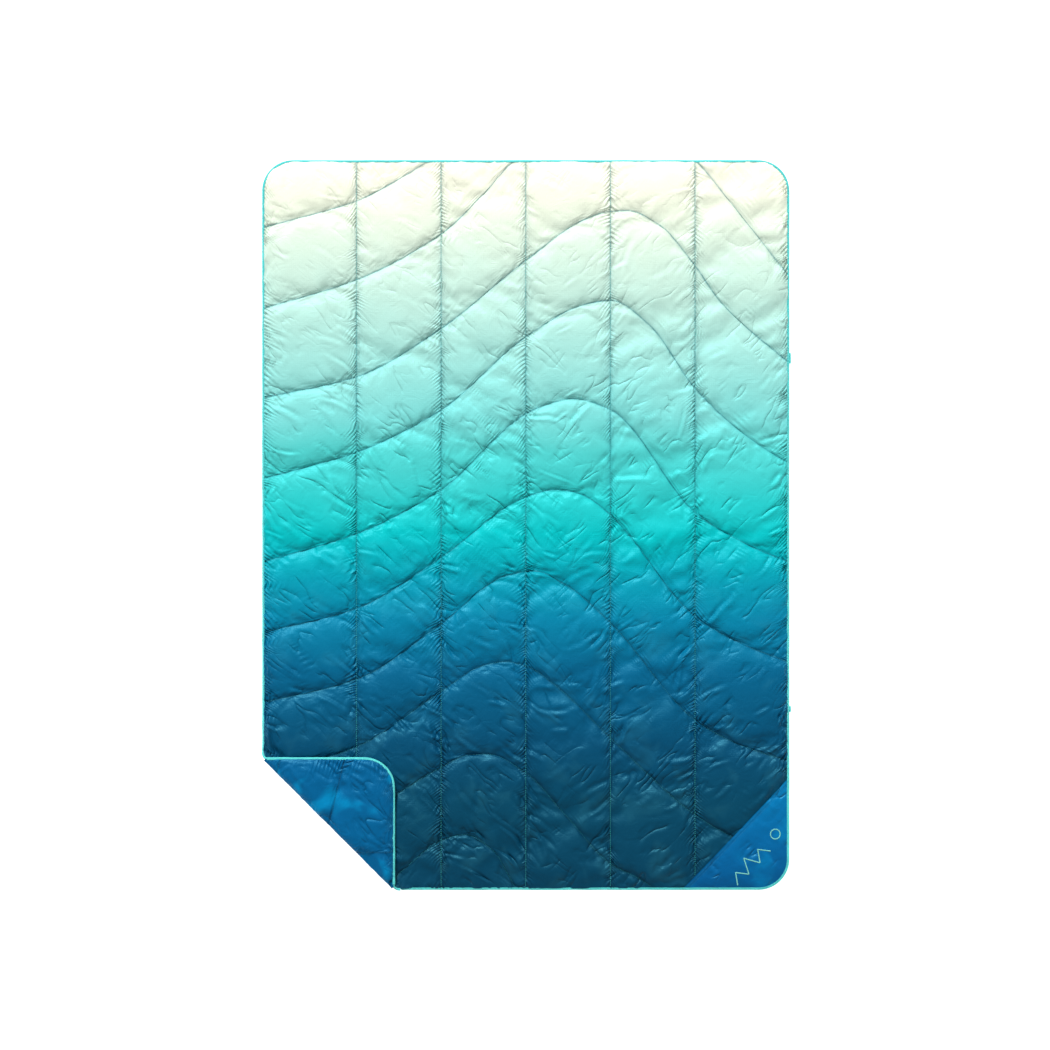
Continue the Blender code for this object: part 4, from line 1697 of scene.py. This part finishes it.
@dataclass(frozen=True)
class Crease:
    """The rolled fold of the back cloth between the main part and the corner."""

    plan: Plan
    radius: float = 0.0027
    half_height: float = 0.0054
    inner: float = 0.0012
    notches: tuple[Pair, ...] = ((0.194, 0.0022), (0.296, 0.0028), (0.08, 0.0010), (0.35, 0.0009))
    steps: int = 150

    def build(self, name: str) -> Piece:
        """The fold as a single layer.

        Args:
            name: the piece's name.

        Returns:
            The fold, with small notches where the stitching crosses it.
        """
        end_y, end_x = self.plan.crease_ends()
        first = (-self.plan.width / 2 - end_y) / math.sqrt(2) + 0.0085
        last = (end_x + self.plan.length / 2) / math.sqrt(2) - 0.0085
        t = np.linspace(first, last, self.steps)
        noise = Noise(23)
        dent = 0.0006 * noise.at(t / 0.021, t * 0) + 0.0005 * noise.at(t / 0.007, t * 0 + 3)
        for place, deep in self.notches:
            dent = dent + deep * np.exp(-(((t - place) / 0.006) ** 2))
        phi = np.linspace(-math.pi / 2, math.pi / 2, 9)
        u = self.inner - (self.radius - dent[:, None]) * np.cos(phi)[None, :]
        z = self.plan.fold_height + self.half_height * np.sin(phi)[None, :] + 0 * u
        along = np.broadcast_to(t[:, None], u.shape)
        x = self.plan.crease / 2 + (along + u) / math.sqrt(2)
        y = self.plan.crease / 2 + (u - along) / math.sqrt(2)
        fold = strip_mesh(name, np.stack([x, y, z], axis=-1))
        points = read_points(fold.data)
        flat_u = (points[:, 2] - self.plan.fold_height) * -0.7
        t_back = (points[:, 0] - points[:, 1]) / math.sqrt(2)
        flat = np.column_stack([flat_u + t_back, flat_u - t_back]) / math.sqrt(2)
        keep_uv(fold, self.plan.crease / 2 + flat)
        blank_marks(fold)
        return fold


@dataclass(frozen=True)
class SideLoop:
    """A small tab of folded webbing sewn under the binding."""

    name: str
    middle: float
    length: float
    edge: float = 0.675
    reach: float = 0.0058
    tuck: float = 0.004
    mid: float = 0.0028
    half_height: float = 0.0013
    thickness: float = 0.0009

    def build(self) -> Piece:
        """The tab, folded so that both ends lie under the binding."""
        t = np.linspace(-1, 1, 15)
        x = self.edge - self.tuck + (self.reach + self.tuck) * np.cos(t * math.pi / 2) ** 0.5
        z = self.mid + self.half_height * np.sin(t * math.pi / 2)
        y = np.linspace(-0.5, 0.5, 9) * self.length + self.middle
        rows = np.stack(np.broadcast_arrays(x[None, :], y[:, None], z[None, :]), axis=-1)
        return strip_mesh(self.name, rows, self.thickness)


class HeightField:
    """Lowest or highest cloth point near each place."""

    half_side = 1.2
    unset = 9.0
    usual = 0.006

    def __init__(self, piece: Piece, cell: float, highest: bool) -> None:
        """Sorts the cloth's points into squares.

        Args:
            piece: the cloth.
            cell: size of a square.
            highest: whether each square keeps its highest point, not its lowest.
        """
        self.cell, self.sign = cell, -1.0 if highest else 1.0
        points = read_points(piece.data)
        count = round(2 * self.half_side / cell)
        self.grid = np.full((count, count), self.unset)
        column, line = self.index(points[:, 0]), self.index(points[:, 1])
        np.minimum.at(self.grid, (column, line), self.sign * points[:, 2])

    def index(self, place: np.ndarray) -> np.ndarray:
        """Numbers of the squares that hold these coordinates."""
        return np.floor((place + self.half_side) / self.cell).astype(int)

    def near(self, x: np.ndarray, y: np.ndarray) -> np.ndarray:
        """The lowest or highest cloth point in the squares round each place.

        Args:
            x: places across the blanket.
            y: places along the blanket.

        Returns:
            One height for each place.
        """
        column, line = self.index(x), self.index(y)
        found = np.full(x.shape, self.unset)
        for a in (-1, 0, 1):
            for b in (-1, 0, 1):
                found = np.minimum(found, self.grid[column + a, line + b])
        return self.sign * np.where(found == self.unset, self.sign * self.usual, found)


@dataclass(frozen=True)
class Loft:
    """The filling between the front and back cloths."""

    plan: Plan
    spacing: float = 0.011
    inset: float = 0.016
    clear: float = 0.0005
    least: float = 0.0004
    bend_radius: float = 0.03
    crease_gap: float = 0.012

    def build(
        self, name: str, side: Side, top: Piece, bottom: Piece, turned: bool
    ) -> Piece:
        """One part of the filling, a little thinner than the space between the cloths.

        Args:
            name: the piece's name.
            side: the part of the cloth it fills.
            top: the cloth above.
            bottom: the cloth below.
            turned: True if the corner's part is turned up.

        Returns:
            The filling as a closed piece.
        """
        mesh = bmesh.new()
        columns, lines = round(self.plan.width / self.spacing), round(self.plan.length / self.spacing)
        bmesh.ops.create_grid(mesh, x_segments=columns, y_segments=lines, size=0.5)
        bmesh.ops.scale(mesh, vec=(self.plan.width, self.plan.length, 1), verts=mesh.verts[:])
        flat = finish_mesh(mesh, name + "_flat")
        cutter = Cutter(self.plan, inset=self.inset, bend_radius=self.bend_radius)
        cut = cutter.cut(flat, name, side, shy=self.crease_gap)
        bpy.data.objects.remove(flat)
        if turned:
            cut.data.transform(self.plan.turn_up())
        mesh = bmesh.new()
        mesh.from_mesh(cut.data)
        count = len(mesh.verts)
        bmesh.ops.extrude_face_region(mesh, geom=mesh.faces[:])
        mesh.verts.ensure_lookup_table()
        x, y = (np.array([v.co[k] for v in mesh.verts]) for k in (0, 1))
        upper = HeightField(top, self.spacing, highest=False).near(x, y) - self.clear
        under = HeightField(bottom, self.spacing, highest=True).near(x, y) + self.clear
        middle = (upper + under) / 2
        upper = np.maximum(upper, middle + self.least / 2)
        under = np.minimum(under, middle - self.least / 2)
        for number, vertex in enumerate(mesh.verts):
            vertex.co.z = upper[number] if number < count else under[number]
        bmesh.ops.recalc_face_normals(mesh, faces=mesh.faces[:])
        mesh.to_mesh(cut.data)
        mesh.free()
        cut.data.shade_smooth()
        return cut


# --------------------------------------------------------------------------- stage


@dataclass(frozen=True)
class Studio:
    """Pale floor, soft light and a camera that looks straight down. Angles are in degrees."""

    lens: float = 85.0
    sensor: float = 36.0
    view_width: float = 2.692
    centre: tuple[float, float] = (-0.0019, 0.0)
    sky: float = 0.40
    sun: float = 3.5
    sun_height: float = 36.0
    sun_turn: float = -14.0
    sun_angle: float = 14.0
    floor_size: float = 9.0
    floor_drop: float = 0.0008
    floor_glow: float = 0.95

    def build(self) -> None:
        """Makes the floor, the lights and the camera."""
        self.floor()
        self.lights()
        camera = bpy.data.cameras.new("camera")
        camera.lens, camera.sensor_width, camera.clip_end = self.lens, self.sensor, 60
        holder = bpy.data.objects.new("camera", camera)
        holder.location = (*self.centre, self.view_width * self.lens / self.sensor + 0.01)
        bpy.context.scene.collection.objects.link(holder)
        bpy.context.scene.camera = holder
        bpy.context.scene.view_settings.view_transform = "Standard"

    def floor(self) -> None:
        """A plain pale lit floor just under the blanket."""
        mesh = bmesh.new()
        bmesh.ops.create_grid(mesh, x_segments=2, y_segments=2, size=self.floor_size)
        bmesh.ops.translate(mesh, vec=(0, 0, -self.floor_drop), verts=mesh.verts[:])
        floor = finish_mesh(mesh, "floor")
        pale = bpy.data.materials.new("pale_floor")
        pale.use_nodes = True
        skin = pale.node_tree.nodes["Principled BSDF"]
        skin.inputs["Base Color"].default_value = (0.93, 0.93, 0.93, 1)
        skin.inputs["Roughness"].default_value = 0.9
        skin.inputs["Specular IOR Level"].default_value = 0.0
        skin.inputs["Emission Color"].default_value = (1, 1, 1, 1)
        skin.inputs["Emission Strength"].default_value = self.floor_glow
        dress(floor, pale)

    def lights(self) -> None:
        """An even pale sky and one broad light from the head end."""
        world = bpy.data.worlds.new("studio")
        world.use_nodes = True
        world.node_tree.nodes["Background"].inputs[0].default_value = (1, 1, 1, 1)
        world.node_tree.nodes["Background"].inputs[1].default_value = self.sky
        bpy.context.scene.world = world
        light = bpy.data.lights.new("key", "SUN")
        light.energy, light.angle = self.sun, math.radians(self.sun_angle)
        lamp = bpy.data.objects.new("key", light)
        up, turn = math.radians(self.sun_height), math.radians(self.sun_turn)
        source = Vector((math.cos(up) * math.sin(turn), math.cos(up) * math.cos(turn), math.sin(up)))
        lamp.rotation_euler = (-source).to_track_quat("-Z", "Y").to_euler()
        bpy.context.scene.collection.objects.link(lamp)


# --------------------------------------------------------------------------- blanket


@dataclass
class Blanket:
    """Puts the pieces together; the corner's and the right half's pieces ride their bodies."""

    plan: Plan = field(default_factory=Plan)

    def __post_init__(self) -> None:
        """Makes the shared helpers."""
        self.finishes = Finishes(self.plan)
        self.patch = Patch(self.plan)
        self.shaper = Shaper(self.plan, self.patch)
        self.cutter = Cutter(self.plan)
        self.quilting = Quilting(self.plan)
        self.binding = Binding(self.plan, self.shaper)

    def across_middle(self, piece: Piece, nodes: tuple[str, ...], slot: str) -> None:
        """Bakes the piece's placement into its mesh, hides the CAD nodes it stands for and logs it."""
        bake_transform(piece)
        self.sign(piece, nodes, slot)

    def over_crease(self, piece: Piece) -> None:
        """Bakes the piece's placement into its mesh."""
        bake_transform(piece)

    def on(self, piece: Piece, body: Body, nodes: tuple[str, ...], slot: str) -> None:
        """Lets the piece ride one body."""
        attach(piece, body.value)
        self.sign(piece, nodes, slot)

    def sign(self, piece: Piece, nodes: tuple[str, ...], slot: str) -> None:
        """Hides the CAD nodes the piece stands for and logs its face count."""
        if nodes:
            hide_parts(*nodes)
        LOG.info("%s: %d faces", piece.name, len(piece.data.polygons))

    def cloths(self) -> None:
        """The front and back cloths of the main part and of the corner, and the loft between."""
        cloth = CoverCloth(self.plan).build("cloth")
        Crimps(self.plan).add_to(cloth)
        coarse = thin_copy(cloth, "coarse_cloth")
        self.front = self.cutter.cut(cloth, "front_cloth", Side.MAIN)
        self.shaper.front(self.front)
        self.inside = self.cutter.cut(cloth, "front_cloth_corner", Side.CORNER)
        self.shaper.corner_inside(self.inside)
        self.outside = self.cutter.cut(cloth, "back_cloth_corner", Side.CORNER)
        self.shaper.corner_outside(self.outside)
        self.back = self.cutter.cut(coarse, "back_cloth", Side.MAIN)
        self.shaper.back(self.back)
        for source in (cloth, coarse):
            bpy.data.objects.remove(source)
        self.fold = Crease(self.plan).build("crease_fold")
        self.above, self.below = surface_of(self.front), surface_of(self.back)
        self.flap_top, self.flap_under = surface_of(self.outside), surface_of(self.inside)

    def lofts(self) -> None:
        """The filling of the main part and of the corner."""
        loft = Loft(self.plan)
        main = loft.build("loft_main", Side.MAIN, self.front, self.back, turned=False)
        corner = loft.build("loft_corner", Side.CORNER, self.outside, self.inside, turned=True)
        for piece in (main, corner):
            dress(piece, self.finishes.thread(LOFT))
        self.across_middle(main, tuple(f"fill_column_{n}" for n in range(1, 7)), "fill")
        self.on(corner, Body.CORNER, ("fill_corner_1", "fill_corner_2"), "fill")

    def place_cloths(self) -> None:
        """Gives the cloths their finish, logs their flat cuts and puts the corner's cloths on its body."""
        dress(self.front, self.finishes.cloth(FRONT))
        dress(self.inside, self.finishes.cloth(FRONT))
        for piece in (self.back, self.outside, self.fold):
            dress(piece, self.finishes.cloth(BACK))
        declare(self.front)
        declare(self.inside)
        declare(self.back)
        declare(self.outside)
        self.across_middle(self.front, ("front_panel_left", "front_panel_right"), "front_fabric")
        self.across_middle(self.back, ("back_panel_left", "back_panel_right"), "back_fabric")
        self.on(self.inside, Body.CORNER, ("front_panel_corner",), "front_fabric")
        self.on(self.outside, Body.CORNER, ("back_panel_corner",), "back_fabric")
        self.over_crease(self.fold)
        self.sign(self.fold, (), "back_fabric")

    def bindings(self) -> None:
        """The tape round the edge and its stitching."""
        tape = self.finishes.thread(TAPE)
        main, corner = self.binding.main(), self.binding.corner()
        bends = [self.binding.bend("binding_bend_left", False), self.binding.bend("binding_bend_foot", True)]
        for piece in (main, corner, *bends):
            dress(piece, tape)
        sewn_main, sewn_corner = self.binding.stitch_paths()
        stitch = Stitch(pitch=0.0042, length=0.0030, width=0.0009)
        top = stitch.sew("binding_stitches", sewn_main, surface_of(main))
        flap = stitch.sew("binding_stitches_flap", self.quilting.turned(sewn_corner), surface_of(corner))
        for piece in (top, flap):
            dress(piece, self.finishes.thread(SEAM_THREAD))
        self.across_middle(main, ("binding_right", "binding_left_side", "binding_left_foot"), "tape")
        self.on(corner, Body.CORNER, ("binding_corner",), "tape")
        for piece in bends:
            self.over_crease(piece)
            self.sign(piece, (), "tape")
        self.across_middle(
            top, ("binding_stitch_right", "binding_stitch_left_side", "binding_stitch_left_foot"), "thread"
        )
        self.on(flap, Body.CORNER, ("binding_stitch_corner",), "thread")

    def stitching(self) -> None:
        """The quilting stitches on both faces."""
        seams, rows = self.quilting.seam_paths(), self.quilting.row_paths()
        seam, row = Stitch(), Stitch(pitch=0.0046, length=0.0030, width=0.0008, height=0.0006)
        low_seam = Stitch(from_below=True)
        low_row = Stitch(pitch=0.0046, length=0.0030, width=0.0008, height=0.0006, from_below=True)
        main = self.quilting.trim(seams, Side.MAIN), self.quilting.trim(rows, Side.MAIN)
        all_main = self.quilting.trim(seams, Side.MAIN, False), self.quilting.trim(rows, Side.MAIN, False)
        corner = [self.quilting.turned(self.quilting.trim(lines, Side.CORNER)) for lines in (seams, rows)]
        halves = [f"contour_row_{r}_{side}" for r in "cdefghi" for side in ("left", "right")]
        halves += [f"contour_row_{end}" for end in ("a_left", "b_left", "b_far_right", "j_left")]
        columns = [f"column_stitch_{number}" for number in range(1, 6)]
        main_lines = (
            ("seam_stitches", seam, main[0], self.above, SEAM_THREAD, columns),
            ("row_stitches", row, main[1], self.above, THREAD, halves),
            ("seam_stitches_back", low_seam, all_main[0], self.below, SEAM_THREAD, []),
            ("row_stitches_back", low_row, all_main[1], self.below, THREAD, []),
        )
        for name, stitch, lines, surface, finish, nodes in main_lines:
            piece = self.sewn(name, stitch, lines, surface, finish)
            self.across_middle(piece, tuple(nodes), "thread")
        ends = ("contour_row_h_corner", "contour_row_i_corner")
        corner_lines = (
            ("row_stitches_flap", row, corner[1], self.flap_top, BACK_THREAD, ends),
            ("seam_stitches_flap", row, corner[0], self.flap_top, BACK_THREAD, ("column_stitch_1_corner",)),
            ("row_stitches_flap_inside", low_row, corner[1], self.flap_under, THREAD, ()),
            ("seam_stitches_flap_inside", low_seam, corner[0], self.flap_under, SEAM_THREAD, ()),
        )
        for name, stitch, lines, surface, finish, nodes in corner_lines:
            self.on(self.sewn(name, stitch, lines, surface, finish), Body.CORNER, nodes, "thread")

    def sewn(
        self, name: str, stitch: Stitch, lines: list[np.ndarray], surface: BVHTree, finish: ThreadFinish
    ) -> Piece:
        """One piece of stitching in its thread.

        Args:
            name: the piece's name.
            stitch: the kind of stitch.
            lines: plan points of each line.
            surface: what the stitches lie on.
            finish: the thread.

        Returns:
            The stitches.
        """
        piece = stitch.sew(name, lines, surface)
        dress(piece, self.finishes.thread(finish))
        return piece

    def corner_patch(self) -> None:
        """The patch, its hem and the embroidered peaks."""
        patch = self.patch.build("corner_patch_cloth")
        dress(patch, self.finishes.cloth(PATCH))
        surface = surface_of(patch)
        hem = Stitch(pitch=0.0034, length=0.0026, width=0.0010)
        satin = Stitch(pitch=0.0011, length=0.0036, width=0.0014, height=0.0012, across=True)
        hems = [
            hem.sew(f"patch_hem_{number}", [self.patch.hem_path(depth)], surface)
            for number, depth in enumerate(self.patch.hems, 1)
        ]
        peaks = satin.sew("patch_peaks", self.patch.motif_paths(), surface)
        declare(patch)
        for piece in hems:
            dress(piece, self.finishes.thread(HEM_THREAD))
        dress(peaks, self.finishes.thread(MINT))
        self.on(patch, Body.RIGHT, ("corner_patch",), "patch_fabric")
        nodes = ("patch_stitch_outer", "patch_stitch_inner", "patch_embroidery")
        for piece, node in zip((*hems, peaks), nodes):
            self.on(piece, Body.RIGHT, (node,), "mint_thread")

    def loops(self) -> None:
        """The two small tabs on the right edge."""
        for tab in (SideLoop("tab_upper", 0.428, 0.0270), SideLoop("tab_lower", -0.472, 0.0156)):
            piece = tab.build()
            dress(piece, self.finishes.thread(TAPE))
            self.on(piece, Body.RIGHT, (tab.name.replace("tab", "side_loop"),), "tape")


def thin_copy(source: Piece, name: str) -> Piece:
    """A copy of the cloth with a quarter of its faces.

    Args:
        source: a cloth that was subdivided once.
        name: the copy's name.

    Returns:
        The coarser copy.
    """
    piece = new_object(name, source.data.copy())
    thin = piece.modifiers.new("thin", "DECIMATE")
    thin.decimate_type = "UNSUBDIV"
    thin.iterations = 2
    bake_modifiers(piece)
    return piece


def main() -> None:
    """Builds every part of the blanket in order and reports it."""
    logging.basicConfig(level=logging.INFO, format="%(name)s: %(message)s")
    Studio().build()
    blanket = Blanket()
    blanket.cloths()
    blanket.lofts()
    blanket.place_cloths()
    blanket.bindings()
    blanket.stitching()
    blanket.corner_patch()
    blanket.loops()
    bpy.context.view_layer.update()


if __name__ == "__main__":
    main()
